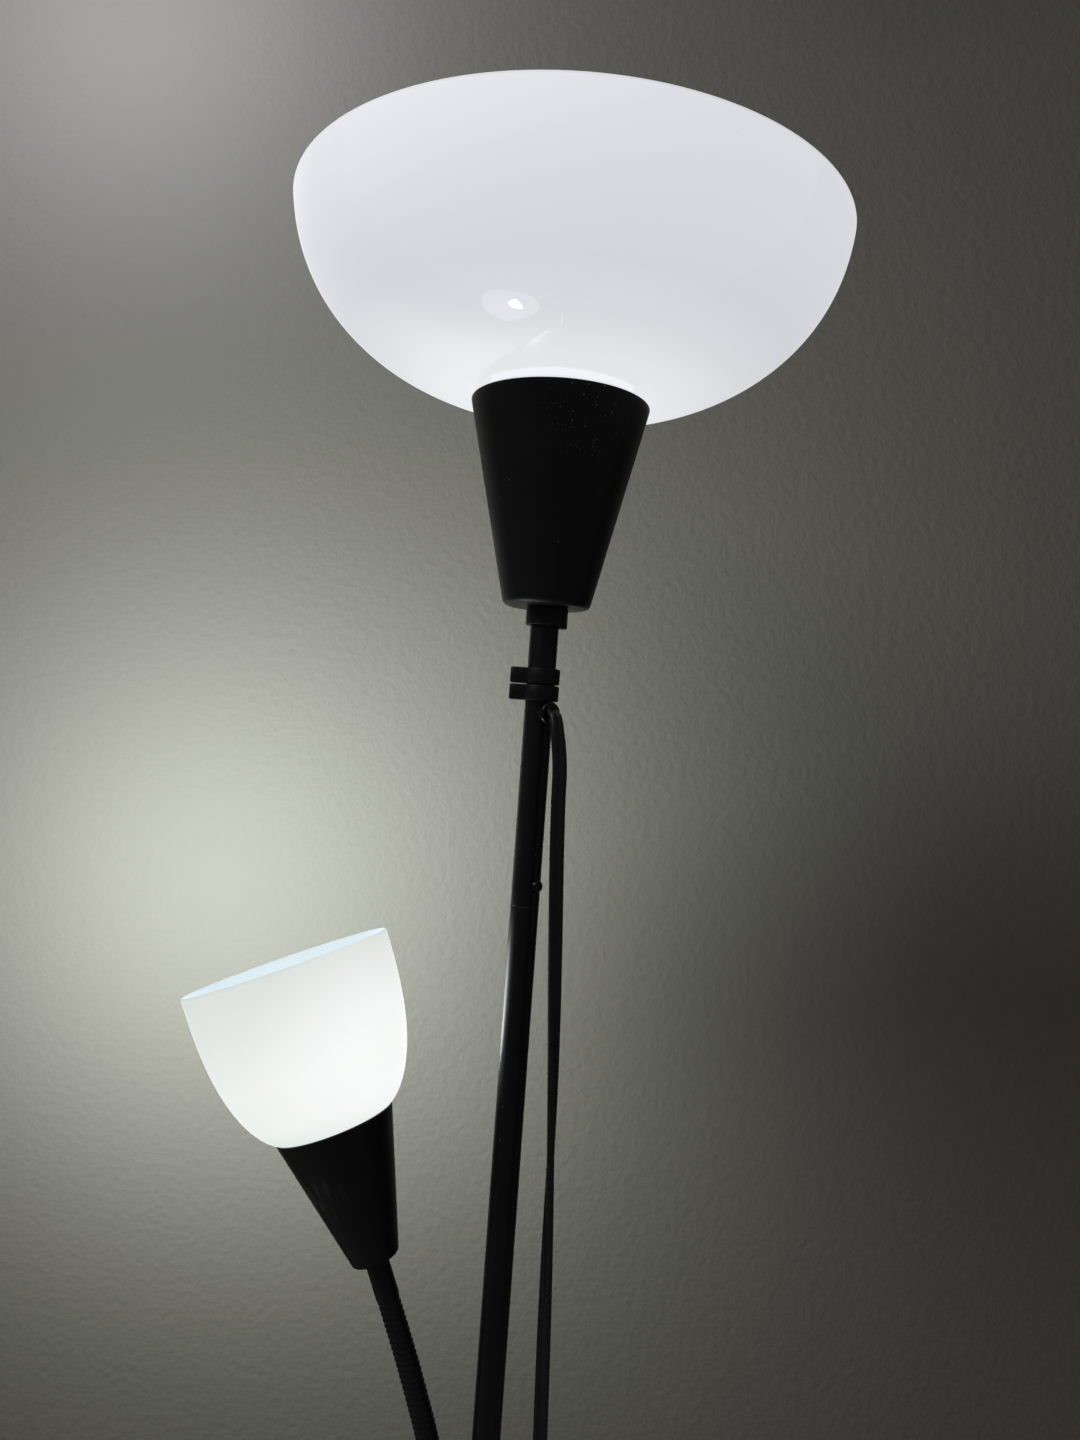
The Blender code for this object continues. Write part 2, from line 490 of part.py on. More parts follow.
CORD_ROUTE = [(7.1, -9.75, 1548.5), (8.7, -12.4, 1546.6), (9.9, -14.5, 1541.9), (10.8, -15.9, 1536.0),
              (11.9, -16.9, 1529.0), (12.9, -17.6, 1519.0), (13.3, -18.0, 1504.0), (14.4, -18.0, 1478.0),
              (17.2, -17.5, 1428.0), (21.3, -16.5, 1351.0), (28.0, -14.0, 1166.0), (38.0, -10.0, 950.0),
              (52.0, -4.0, 720.0), (70.0, 4.0, 480.0), (92.0, 16.0, 260.0), (117.0, 32.0, 115.0),
              (141.0, 52.0, 44.0), (156.0, 76.0, 12.0), (159.0, 104.0, 3.2), (155.5, 132.0, 2.9),
              (151.2, 157.4, 2.9)]
TAIL_ROUTE = [(77.8, 224.2, 10.4), (68.0, 224.6, 8.6), (56.0, 224.0, 7.2), (45.3, 223.0, 7.0)]
PLUG_AT = (45.0, 223.0, 7.0)


def build_cord():
    wire("cord_run", through(CORD_ROUTE, 30.0), CORD_R, PVC, 2)
    ring("cord_coil", COIL_OUTER, COIL_INNER, 0, COIL_HEIGHT, PVC, 28, frame_at("coil_axis", (*COIL_AT, 0)),
         chamfer=COIL_EDGE)
    wire("cord_tail", through(TAIL_ROUTE, 6.0), CORD_R, PVC, 2)
    plug = frame_at("plug_axis", PLUG_AT, (-1, -0.04, 0), (0, 0, 1))
    block("plug_body", (-PLUG_HALF_HEIGHT, -PLUG_HALF_WIDTH, GAP),
          (PLUG_HALF_HEIGHT, PLUG_HALF_WIDTH, PLUG_LENGTH), PVC, plug, LAMP, bevel=PLUG_EDGE)
    root = PLUG_LENGTH + GAP
    for middle, name in ((-BLADE_APART / 2, "plug_blade_left"), (BLADE_APART / 2, "plug_blade_right")):
        block(name, (-BLADE_HEIGHT / 2, middle - BLADE_THICK / 2, root),
              (BLADE_HEIGHT / 2, middle + BLADE_THICK / 2, root + BLADE_LENGTH), BRASS, plug, LAMP)


def build():
    build_base()
    build_pole()
    build_clamps()
    build_coupling()
    frames = arm_frames()
    build_gooseneck(frames)
    build_reading_light(frames[4])
    build_uplighter()
    build_leads()
    build_cord()
    bpy.context.view_layer.update()
    for piece in LAMP.objects:
        if piece.type == "MESH":
            smooth(piece.data)


build()
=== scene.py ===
"""Looks of the two-light torchiere floor lamp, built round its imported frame.

Shapes are written in millimetres, in the frame's own axes: +Z up, +X to the viewer's right and +Y away from
them. A turned piece is a row of (radius, height) points on its own axis.
"""
import json
import math

import bmesh
import bpy
import numpy as np
from mathutils import Matrix, Vector

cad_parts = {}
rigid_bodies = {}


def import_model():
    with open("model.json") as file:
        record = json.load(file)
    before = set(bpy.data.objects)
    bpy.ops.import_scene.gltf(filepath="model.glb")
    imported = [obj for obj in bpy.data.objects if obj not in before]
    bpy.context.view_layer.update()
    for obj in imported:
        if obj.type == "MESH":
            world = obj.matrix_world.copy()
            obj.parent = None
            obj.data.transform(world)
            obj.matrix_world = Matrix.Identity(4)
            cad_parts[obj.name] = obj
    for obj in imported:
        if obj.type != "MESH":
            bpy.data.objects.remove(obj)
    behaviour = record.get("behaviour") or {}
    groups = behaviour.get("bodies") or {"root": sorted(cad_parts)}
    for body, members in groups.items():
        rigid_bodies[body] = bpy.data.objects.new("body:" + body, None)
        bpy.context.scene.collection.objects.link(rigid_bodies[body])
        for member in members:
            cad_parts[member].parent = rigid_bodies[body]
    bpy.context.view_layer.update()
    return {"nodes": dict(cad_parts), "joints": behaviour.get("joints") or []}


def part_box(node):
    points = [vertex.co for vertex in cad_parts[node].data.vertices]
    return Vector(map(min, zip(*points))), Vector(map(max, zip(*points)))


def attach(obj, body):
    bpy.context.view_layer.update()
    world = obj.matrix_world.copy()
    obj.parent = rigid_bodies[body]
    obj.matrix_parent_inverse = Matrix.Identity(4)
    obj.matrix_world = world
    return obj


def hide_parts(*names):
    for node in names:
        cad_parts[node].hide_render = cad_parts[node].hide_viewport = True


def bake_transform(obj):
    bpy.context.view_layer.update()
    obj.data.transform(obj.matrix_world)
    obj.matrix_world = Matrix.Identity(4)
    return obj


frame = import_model()

MM = 0.001
GAP = 0.3  # clearance between pieces that touch
AT_ORIGIN = Matrix.Identity(4)
UP = Vector((0, 0, 1))

# Sizes that the frame's boxes don't give, the same as in the CAD model
POLE_R, POLE_WALL, SEAM_EDGE = 7.5, 1.0, 0.3
GROMMET_TURN, BUTTON_TURN = math.radians(36), math.radians(49)  # their directions, from -Y towards +X

BASE_R, BASE_EDGE_Z, BASE_TOP_Z, BASE_SHEET = 140.0, 8.0, 28.0, 1.2
BASE_DOME_RISE, BASE_DOME_POWER, BASE_BOSS_R, BASE_HOLE_R, BASE_CORNER_R = 18.0, 2.2, 13.0, 5.4, 4.0
PAD_R, PAD_THICK = 132.0, 2.0

BUTTON_R, BUTTON_DOME_R, BUTTON_FOOT, BUTTON_FIT = 3.25, 3.6, 5.2, 0.35
CLAMP_R, CLAMP_BORE, CLAMP_EDGE, EAR_OUT, EAR_HALF = 9.9, 7.8, 0.7, 16.2, 5.0
GROMMET_BACK, GROMMET_BORE, GROMMET_NECK = 8.0, 2.9, 4.2  # its flange's back, and radii
COLLAR_R, COLLAR_BORE, COLLAR_X = 11.0, 6.2, 0.8

BOWL = dict(height=87.3, p=2.242, q=1.694, core=40.0, flare=4.8, crown=140.0, neck_r=43.6, wall=2.0)
BOWL_CONE = dict(bottom_r=23.1, mouth_r=47.2, edge_r=3.4, hole_r=5.4, wall=1.6)
SMALL_BOWL = dict(height=90.1, p=2.62, q=1.614, core=29.0, flare=0.5, crown=56.3, neck_r=28.6, wall=1.6)
SMALL_CONE = dict(bottom_r=12.8, mouth_r=32.2, edge_r=3.0, hole_r=4.3, wall=1.5)

BOSS_X, BOSS_R, BOSS_RISE = -17.0, 8.5, 6.0
COUPLING_R, WEB_HALF, SWITCH_R, SWITCH_OUT = 12.0, 6.5, 9.0, 20.0
STEM_BORE, SCREW_BORE, POCKET_R, POCKET_FLOOR = 4.4, 2.1, 6.0, 9.2  # radii, and the pocket's floor
GOOSE_R, RIDGE_PITCH, RIDGE_HEIGHT = 6.1, 3.0, 0.55

CORD_WIDE, CORD_THICK = 7.5, 3.8  # flat twin cord
CORD_ROUTE = [(7.1, -9.75, 1548.5), (8.7, -12.4, 1546.6), (9.9, -14.5, 1541.9), (10.8, -15.9, 1536.0),
              (11.9, -16.9, 1529.0), (12.9, -17.6, 1519.0), (13.3, -18.0, 1504.0), (14.4, -18.0, 1478.0),
              (17.2, -17.5, 1428.0), (21.3, -16.5, 1351.0), (28.0, -14.0, 1166.0), (38.0, -10.0, 950.0),
              (52.0, -4.0, 720.0), (70.0, 4.0, 480.0), (92.0, 16.0, 260.0), (117.0, 32.0, 115.0),
              (141.0, 52.0, 44.0), (154.6, 76.0, 12.0), (157.6, 104.0, 3.2), (154.9, 132.0, 2.9),
              (151.2, 157.4, 2.9)]
TAIL_ROUTE = [(77.8, 224.2, 10.4), (68.0, 224.6, 8.6), (56.0, 224.0, 7.2), (45.3, 223.0, 7.0)]
CORD_START = (5.1, -7.0, 1548.9)  # inside the grommet, just behind the route's first point
COIL_AT, COIL_OUTER, COIL_PITCH = Vector((100.0, 175.0, 0.0)), 51.0, 4.2
COIL_LAYERS_Z = (4.3, 12.0)
PLUG_AT, PLUG_AXIS = Vector((45.0, 223.0, 7.0)), Vector((-1, -0.04, 0))


# Places and sizes from the frame
def place_at(at, z_axis=UP, x_hint=(1, 0, 0)):
    """A frame at a point (mm) whose +Z is z_axis."""
    z = Vector(z_axis).normalized()
    y = z.cross(Vector(x_hint)).normalized()
    return Matrix.Translation(Vector(at) * MM) @ Matrix((y.cross(z), y, z)).transposed().to_4x4()


def node_points(node, place=AT_ORIGIN):
    """A CAD node's points, in mm, in the given frame."""
    to_place = np.array(place.inverted())
    points = np.array([v.co for v in frame["nodes"][node].data.vertices])
    return (points @ to_place[:3, :3].T + to_place[:3, 3]) / MM


def extent(node, place=AT_ORIGIN):
    """The lowest and highest z that a CAD node reaches in a frame, and its largest radius there, mm."""
    points = node_points(node, place)
    return points[:, 2].min(), points[:, 2].max(), np.hypot(points[:, 0], points[:, 1]).max()


def axis_frame(tube, foot):
    """The frame on a tube node's own axis, its +Z upwards and its origin level with node foot's low end."""
    points = np.unique(node_points(tube).round(3), axis=0)
    middle = points.mean(axis=0)
    axis = Vector(np.linalg.svd(points - middle)[2][0])
    axis = axis if axis.z > 0 else -axis
    low = extent(foot, place_at(middle, axis))[0]
    return place_at(Vector(middle) + axis * low, axis)


def side_place(node, turn):
    """The frame on the pole's axis, level with a node, whose +Z points out at a turn from -Y towards +X."""
    low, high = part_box(node)
    return place_at((0, 0, (low.z + high.z) / 2 / MM), (math.sin(turn), -math.cos(turn), 0), UP)


def joint_at(name):
    """A joint's point, mm."""
    joint = next(j for j in frame["joints"] if j["name"] == name)
    return Vector(joint["pos_m"]) / MM


# Mesh tools
def piece(name, points, faces, material, place=AT_ORIGIN, sharp=32.0):
    """A smooth mesh object from points in mm and faces, with its faces pointing out."""
    mesh = bpy.data.meshes.new(name)
    mesh.from_pydata((np.asarray(points) * MM).tolist(), [], faces)
    shape = bmesh.new()
    shape.from_mesh(mesh)
    bmesh.ops.remove_doubles(shape, verts=shape.verts, dist=1e-6)
    bmesh.ops.recalc_face_normals(shape, faces=shape.faces)
    shape.to_mesh(mesh)
    shape.free()
    mesh.shade_smooth()
    mesh.set_sharp_from_angle(angle=math.radians(sharp))
    mesh.materials.append(material)
    made = bpy.data.objects.new(name, mesh)
    bpy.context.scene.collection.objects.link(made)
    made.matrix_world = place
    return made


def skin(rings, closed=False):
    """Points and faces through rings of points; closed joins last to first, or else the ends are capped."""
    rings = np.asarray(rings, float)
    count, around = rings.shape[:2]
    faces = []
    for i in range(count if closed else count - 1):
        low, high = i * around, (i + 1) % count * around
        faces += [(low + j, low + (j + 1) % around, high + (j + 1) % around, high + j) for j in range(around)]
    if not closed:
        faces += [tuple(range(around)), tuple(range((count - 1) * around, count * around))]
    return rings.reshape(-1, 3), faces


def rounded(outline, closed=True, count=5):
    """An outline's points, with the corners that are given as (radius, height, fillet) rounded off."""
    points = []
    for i, corner in enumerate(outline):
        here = Vector(corner[:2])
        ends = not closed and i in (0, len(outline) - 1)
        if len(corner) == 2 or ends:
            points.append(here)
            continue
        back = Vector(outline[i - 1][:2]) - here
        on = Vector(outline[(i + 1) % len(outline)][:2]) - here
        cut = min(corner[2] / math.tan(back.angle(on) / 2), 0.48 * back.length, 0.48 * on.length)
        start, end = here + back.normalized() * cut, here + on.normalized() * cut
        for k in range(count + 1):
            u = k / count
            points.append(start * (1 - u) ** 2 + here * (2 * u * (1 - u)) + end * u ** 2)
    return points


def turned(name, outline, material, place=AT_ORIGIN, steps=96, closed=True, reach=None):
    """A turned piece. closed joins the outline's ends, and an open outline runs from the axis to the axis.

    reach(radius, angle) gives the radius there, for a piece that isn't quite round.
    """
    angles = np.arange(steps) * 2 * np.pi / steps
    rings = []
    for r, z in rounded(outline, closed):
        around = np.array([reach(r, a) for a in angles]) if reach else np.full(steps, r)
        rings.append(np.stack([around * np.cos(angles), around * np.sin(angles), np.full(steps, z)], axis=1))
    return piece(name, *skin(rings, closed), material, place)


def arc(center, radius, start, end, count):
    """Points on a circle in the (radius, height) plane; angles in degrees from the +height axis."""
    turn = [math.radians(start + (end - start) * i / count) for i in range(count + 1)]
    return [(center[0] + radius * math.sin(a), center[1] + radius * math.cos(a)) for a in turn]


def inner_face(side, wall):
    """The inner face of a wall whose outer face is a row of points that run downward."""
    side = np.array(side)
    along = np.gradient(side, axis=0)
    along /= np.linalg.norm(along, axis=1)[:, None]
    return [tuple(p) for p in side + wall * np.stack([along[:, 1], -along[:, 0]], axis=1)]


def smoothstep(low, high, value):
    t = min(1.0, max(0.0, (value - low) / (high - low)))
    return t * t * (3 - 2 * t)


def stretch(a, b, c, d, spacing):
    """Points from b up to, but without, c on the centripetal Catmull-Rom curve of four points."""
    knots = [0.0]
    for p, q in ((a, b), (b, c), (c, d)):
        knots.append(knots[-1] + math.sqrt((q - p).length))
    t0, t1, t2, t3 = knots
    count = max(1, round((c - b).length / spacing))
    line = []
    for i in range(count):
        t = t1 + (t2 - t1) * i / count
        ab = a.lerp(b, (t - t0) / (t1 - t0))
        bc = b.lerp(c, (t - t1) / (t2 - t1))
        cd = c.lerp(d, (t - t2) / (t3 - t2))
        abc = ab.lerp(bc, (t - t0) / (t2 - t0))
        bcd = bc.lerp(cd, (t - t1) / (t3 - t1))
        line.append(abc.lerp(bcd, (t - t1) / (t2 - t1)))
    return line


def through(points, spacing):
    """A smooth curve through the points, about spacing apart."""
    points = [Vector(p) for p in points]
    ends = [2 * points[0] - points[1], *points, 2 * points[-1] - points[-2]]
    line = [point for four in zip(ends, ends[1:], ends[2:], ends[3:]) for point in stretch(*four, spacing)]
    return line + [points[-1]]


def tangents(line):
    """Unit directions along a row of points."""
    along = np.gradient(np.array(line, float), axis=0)
    return along / np.linalg.norm(along, axis=1)[:, None]


def swept(line, section, wide):
    """Rings of a section along a line. section is (across, thick) points; wide gives each ring's across."""
    line, along = np.array(line, float), tangents(line)
    wide = np.array(wide, float)
    wide -= along * np.sum(wide * along, axis=1)[:, None]
    wide /= np.linalg.norm(wide, axis=1)[:, None]
    thick = np.cross(along, wide)
    section = np.broadcast_to(section, (len(line), *np.shape(section)[-2:]))
    return line[:, None] + section[..., :1] * wide[:, None] + section[..., 1:] * thick[:, None]


def stands_for(made, slot, *nodes, body="lamp"):
    """The piece is shown in place of CAD nodes and moves with a body; slot is not used."""
    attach(made, body)
    if nodes:
        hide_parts(*nodes)
    return made


# Materials
def node(material, kind, inputs=None, **settings):
    """A shader node with its settings, and its inputs as plain values or as links from other nodes."""
    made = material.node_tree.nodes.new("ShaderNode" + kind)
    for key, value in settings.items():
        setattr(made, key, value)
    for key, value in (inputs or {}).items():
        if isinstance(value, bpy.types.NodeSocket):
            material.node_tree.links.new(value, made.inputs[key])
        else:
            made.inputs[key].default_value = value
    return made


def finish(name, color, roughness, metallic=0.0, **sockets):
    """A material with a Principled shader; sockets are its inputs, with _ for a space."""
    made = bpy.data.materials.new(name)
    made.use_nodes = True
    shader = made.node_tree.nodes["Principled BSDF"]
    shader.inputs["Base Color"].default_value = (*color, 1)
    shader.inputs["Roughness"].default_value = roughness
    shader.inputs["Metallic"].default_value = metallic
    for key, value in sockets.items():
        shader.inputs[key.replace("_", " ")].default_value = value
    return made


def link(material, output, socket):
    shader = material.node_tree.nodes["Principled BSDF"]
    material.node_tree.links.new(output, shader.inputs[socket])


def own_place(material):
    """The point on the piece, in its own frame, metres."""
    return node(material, "TexCoord").outputs["Object"]


def noise(material, scale, detail=2.0, stretch=(1, 1, 1)):
    at = node(material, "Mapping", {"Vector": own_place(material), "Scale": stretch}).outputs[0]
    return node(material, "TexNoise", {"Vector": at, "Scale": scale, "Detail": detail}).outputs["Fac"]


def ramp(material, value, stops):
    """A colour ramp through (position, colour) stops."""
    made = node(material, "ValToRGB", {"Fac": value})
    elements = made.color_ramp.elements
    while len(elements) < len(stops):
        elements.new(0.5)
    for element, (position, color) in zip(elements, stops):
        element.position = position
        element.color = (*color, 1)
    return made.outputs["Color"]


def shades(color, *steps):
    """Ramp stops of one colour; steps are (position, share of the colour)."""
    return [(at, [c * share for c in color]) for at, share in steps]


def spread(material, value, low, high, new_low=0.0, new_high=1.0):
    """The value moved from one range to another and held inside it."""
    return node(material, "MapRange", {"Value": value, "From Min": low, "From Max": high, "To Min": new_low,
                                       "To Max": new_high}).outputs["Result"]


def maths(material, operation, a, b):
    return node(material, "Math", {0: a, 1: b}, operation=operation).outputs[0]


def mixed(material, share, a, b):
    """Two colours mixed by a share."""
    return node(material, "Mix", {"Factor": share, 6: a, 7: b}, data_type="RGBA").outputs[2]


def bump(material, height, depth, strength=1.0):
    """Surface relief of a height pattern, depth in mm from its lowest to its highest."""
    made = node(material, "Bump", {"Height": height, "Distance": depth * MM, "Strength": strength})
    link(material, made.outputs["Normal"], "Normal")


def specks(material, scale, size, share):
    """Small round dots, one in some cells of a grid: scale cells a metre, size in cells, and their share."""
    cells = node(material, "TexVoronoi", {"Vector": own_place(material), "Scale": scale, "Randomness": 1.0})
    dot = spread(material, cells.outputs["Distance"], size, size * 0.6)
    chosen = node(material, "SeparateColor", {0: cells.outputs["Color"]}).outputs[0]
    return maths(material, "MULTIPLY", dot, maths(material, "GREATER_THAN", chosen, 1 - share))


def near(material, at, radius):
    """1 at a point (mm, the piece's own frame), falling to 0 at a radius from it."""
    away = node(material, "VectorMath", {0: own_place(material), 1: Vector(at) * MM}, operation="DISTANCE")
    return spread(material, away.outputs["Value"], radius * MM, radius * 0.3 * MM)


def painted_glare_streaks(material, at, radius):
    """Faint upright painted glare streaks round a point (mm): lighter marks that stand in for a reflection.
    """
    streaks = spread(material, noise(material, 260.0, 2.0, (1, 1, 0.15)), 0.52, 0.68)
    return maths(material, "MULTIPLY", streaks, near(material, at, radius))


def black_moulding(name, color, roughness, grain=0.02, dust_at=None, glare_at=None):
    """Satin black with a fine grain, faint lint, dust round dust_at and painted glare streaks round the last
    point (mm).
    """
    made = finish(name, color, roughness, Specular_IOR_Level=0.18)
    lint = maths(made, "MULTIPLY", specks(made, 260.0, 0.10, 0.05), 0.3)
    if dust_at:
        dots = maths(made, "MULTIPLY", specks(made, 620.0, 0.2, 0.30), near(made, dust_at, 28.0))
        lint = maths(made, "MAXIMUM", lint, maths(made, "MULTIPLY", dots, 0.8))
    if glare_at:
        # painted glare: lighter upright streaks that stand in for a reflection on the cone
        painted_glare = maths(made, "MULTIPLY", painted_glare_streaks(made, glare_at, 17.0), 0.10)
        lint = maths(made, "MAXIMUM", lint, painted_glare)
    cloud = ramp(made, noise(made, 45.0, 3.0), shades(color, (0.3, 0.8), (0.7, 1.25)))
    # lint, dust and the painted glare streaks all pull the base colour towards grey here
    link(made, mixed(made, lint, cloud, (0.32, 0.32, 0.33, 1)), "Base Color")
    gloss = spread(made, noise(made, 28.0, 4.0), 0.3, 0.7, roughness - 0.05, roughness + 0.08)
    link(made, gloss, "Roughness")
    bump(made, noise(made, 1600.0, 3.0), grain)
    return made


def opal(name, stops, low, high, roughness, specular, hot_spot=None):
    """Lit opal plastic under a clear gloss that ends at the rim.

    It glows by its height on its own axis, by stops from the rim down, and more near its hot spot.
    """
    made = finish(name, (0.36, 0.37, 0.39), roughness, Emission_Strength=1.0, Specular_IOR_Level=specular)
    height = node(made, "SeparateXYZ", {0: own_place(made)}).outputs["Z"]
    gloss = spread(made, height, (high - 0.5) * MM, (high - 7) * MM, 0.0, specular)
    link(made, gloss, "Specular IOR Level")
    glow = ramp(made, spread(made, height, high * MM, low * MM), stops)
    if hot_spot:
        at, radius, share = hot_spot
        heat = maths(made, "MULTIPLY", near(made, at, radius), share)
        glow = mixed(made, heat, glow, (1.0, 1.0, 1.0, 1))
    dust = maths(made, "MULTIPLY", specks(made, 170.0, 0.07, 0.10), 0.22)
    link(made, mixed(made, dust, glow, (0.35, 0.35, 0.36, 1)), "Emission Color")
    bump(made, noise(made, 22.0, 2.0), 0.2, 0.04)
    return made


def lit_inside(name, color):
    """The inner face of a lit shade."""
    made = finish(name, (0.16, 0.165, 0.17), 0.3, Emission_Strength=1.0)
    cloud = ramp(made, noise(made, 14.0, 2.0), shades(color, (0.3, 0.94), (0.7, 1.0)))
    link(made, cloud, "Emission Color")
    return made


def brushed(name, color, roughness):
    """Bare or plated metal with fine turning marks."""
    made = finish(name, color, roughness, metallic=1.0)
    lines = noise(made, 2600.0, 2.0, (1, 1, 0.05))
    link(made, spread(made, lines, 0.3, 0.7, roughness - 0.08, roughness + 0.12), "Roughness")
    cloud = ramp(made, noise(made, 120.0, 3.0), shades(color, (0.35, 0.86), (0.65, 1.0)))
    link(made, cloud, "Base Color")
    bump(made, lines, 0.004)
    return made


def rough_cast(name, color, grain_scale, depth):
    """Cement or foam: a coarse mottle and open pores."""
    made = finish(name, color, 0.9)
    grains = noise(made, grain_scale, 6.0)
    link(made, ramp(made, grains, shades(color, (0.3, 0.6), (0.5, 1.0), (0.75, 1.3))), "Base Color")
    bump(made, grains, depth)
    return made


def vinyl(name, color, roughness):
    """Cord vinyl: a soft sheen, faint waves from the extruder and a little dust."""
    made = finish(name, color, roughness, Specular_IOR_Level=0.25)
    lint = specks(made, 300.0, 0.1, 0.06)
    cloud = ramp(made, noise(made, 60.0, 3.0), shades(color, (0.3, 0.8), (0.7, 1.3)))
    link(made, mixed(made, lint, cloud, (0.25, 0.25, 0.26, 1)), "Base Color")
    link(made, spread(made, noise(made, 90.0, 3.0), 0.3, 0.7, roughness - 0.06, roughness + 0.1), "Roughness")
    bump(made, noise(made, 700.0, 2.0), 0.03)
    return made


def bulb_glass(name, split_z, glow):
    """An LED bulb: a glowing dome above split_z, over a white collar with a faint painted glow."""
    made = finish(name, (0.50, 0.50, 0.49), 0.32, Emission_Strength=glow)
    height = node(made, "SeparateXYZ", {0: own_place(made)}).outputs["Z"]
    share = spread(made, height, split_z * MM, (split_z + 1.5) * MM)
    # the collar below split_z keeps a faint painted glow
    painted_collar_glow = 0.25 / glow
    link(made, ramp(made, share, [(0.0, (painted_collar_glow, painted_collar_glow, painted_collar_glow)), (1.0, (1.0, 1.0, 1.0))]), "Emission Color")
    bump(made, noise(made, 300.0, 2.0), 0.02)
    return made


BLACK_RGB = (0.0032, 0.0033, 0.0042)
PAINT = black_moulding("satin_black_paint", BLACK_RGB, 0.34, grain=0.03)
PLASTIC = black_moulding("satin_black_plastic", BLACK_RGB, 0.42)
BASE_PAINT = black_moulding("base_black_paint", BLACK_RGB, 0.36, grain=0.05)
BUSH = black_moulding("gloss_black_bush", BLACK_RGB, 0.2, grain=0.01)
BUTTON_PAINT = black_moulding("button_black_enamel", BLACK_RGB, 0.16, grain=0.005)
GOOSE_PAINT = black_moulding("gooseneck_black", (0.0045, 0.004, 0.006), 0.34, grain=0.02)
VINYL = vinyl("black_cord_vinyl", (0.005, 0.005, 0.006), 0.30)
STEEL = brushed("zinc_steel", (0.6, 0.6, 0.58), 0.35)
ALUMINIUM = brushed("cap_aluminium", (0.78, 0.78, 0.79), 0.25)
BRASS = brushed("contact_brass", (0.76, 0.60, 0.30), 0.28)
CEMENT = rough_cast("cement", (0.42, 0.41, 0.38), 400.0, 0.3)
FOAM = rough_cast("foam_pad", (0.025, 0.025, 0.026), 1500.0, 0.12)
CAD_FINISH = {"black_paint": PAINT, "black_plastic": PLASTIC, "zinc_steel": STEEL, "cap_aluminium": ALUMINIUM,
              "contact_brass": BRASS, "cement": CEMENT, "foam_pad": FOAM, "opal_plastic": PLASTIC,
              "bulb_white": PLASTIC, "cord_pvc": VINYL}


def finish_cad_nodes():
    """The CAD nodes that stay, most of them inside the lamp, take the finish of their slot."""
    for made in frame["nodes"].values():
        for slot in made.material_slots:
            slot.material = CAD_FINISH[slot.material.name.split(".")[0]]


# Base and pole
def build_base():
    dome = [(r, BASE_EDGE_Z + BASE_DOME_RISE * (1 - (r / BASE_R) ** BASE_DOME_POWER))
            for r in np.linspace(BASE_BOSS_R + 2.0, BASE_R - BASE_CORNER_R, 40)]
    corner = arc((BASE_R - BASE_CORNER_R, BASE_EDGE_Z - 3.4), BASE_CORNER_R, 20, 90, 8)
    outside = [(BASE_BOSS_R, BASE_TOP_Z), *dome, *corner, (BASE_R, 0.8)]
    inside = inner_face(outside, BASE_SHEET)
    outline = [(BASE_HOLE_R, BASE_TOP_Z), (BASE_BOSS_R, BASE_TOP_Z, 0.8), *outside[1:], *inside[::-1],
               (BASE_HOLE_R, BASE_TOP_Z - BASE_SHEET)]
    cover = turned("base_cover_shell", outline, BASE_PAINT, steps=180)
    stands_for(cover, "black_paint", "base_cover")
    pad = turned("base_foam_pad", [(0, PAD_THICK), (PAD_R, PAD_THICK, 0.6), (PAD_R, 0, 0.6), (0, 0)], FOAM,
                 steps=128, closed=False)
    stands_for(pad, "foam_pad", "base_pad")


def cut(target, tool):
    """Takes one mesh out of another and applies it."""
    boolean = target.modifiers.new("cut", "BOOLEAN")
    boolean.operation = "DIFFERENCE"
    boolean.object = tool
    apply_modifiers(target)
    bpy.data.objects.remove(tool, do_unlink=True)
    target.data.set_sharp_from_angle(angle=math.radians(32))


def apply_modifiers(made):
    graph = bpy.context.evaluated_depsgraph_get()
    mesh = bpy.data.meshes.new_from_object(made.evaluated_get(graph))
    made.modifiers.clear()
    made.data = mesh


def rod(name, radius, low, high, place, steps=48):
    """A plain cylinder, to join to a piece or to cut out of one."""
    outline = [(0, high), (radius, high), (radius, low), (0, low)]
    return turned(name, outline, PLASTIC, place, steps, closed=False)


def build_pole():
    sides = {number: side_place(f"snap_button_{number}", BUTTON_TURN) for number in (1, 2)}
    for number in range(1, 5):
        low, high, _ = extent(f"pole_tube_{number}")
        rows = [(POLE_R, z) for z in np.linspace(high - 2, low + 2, 24)]
        outline = [(POLE_R - POLE_WALL, high), (POLE_R, high, SEAM_EDGE), *rows, (POLE_R, low, SEAM_EDGE),
                   (POLE_R - POLE_WALL, low)]
        tube = turned(f"pole_length_{number}", outline, PAINT, steps=72)
        if number in (2, 4):
            cut(tube, rod("button_hole", BUTTON_R + BUTTON_FIT, 2.0, 12.0, sides[number // 2]))
        stands_for(tube, "black_paint", f"pole_tube_{number}")
    for number, side in sides.items():
        _, tip, _ = extent(f"snap_button_{number}", side)
        dome = arc((0, tip - BUTTON_DOME_R), BUTTON_DOME_R, 0, 64, 12)
        outline = [*dome, (BUTTON_R, BUTTON_FOOT), (0, BUTTON_FOOT)]
        button = turned(f"snap_button_dome_{number}", outline, BUTTON_PAINT, side, steps=48, closed=False)
        stands_for(button, "black_paint", f"snap_button_{number}", body=f"snap_{number}")


def ear_reach(radius, angle):
    """The clamp ring's outer edge: a circle with a square ear to the left."""
    if radius < CLAMP_R - 1.5 or math.cos(angle) > -0.3:
        return radius
    inset, power = CLAMP_R - radius, 12
    along = abs(math.cos(angle)) / (EAR_OUT - inset)
    across = abs(math.sin(angle)) / (EAR_HALF - inset)
    return max(radius, (along ** power + across ** power) ** (-1 / power))


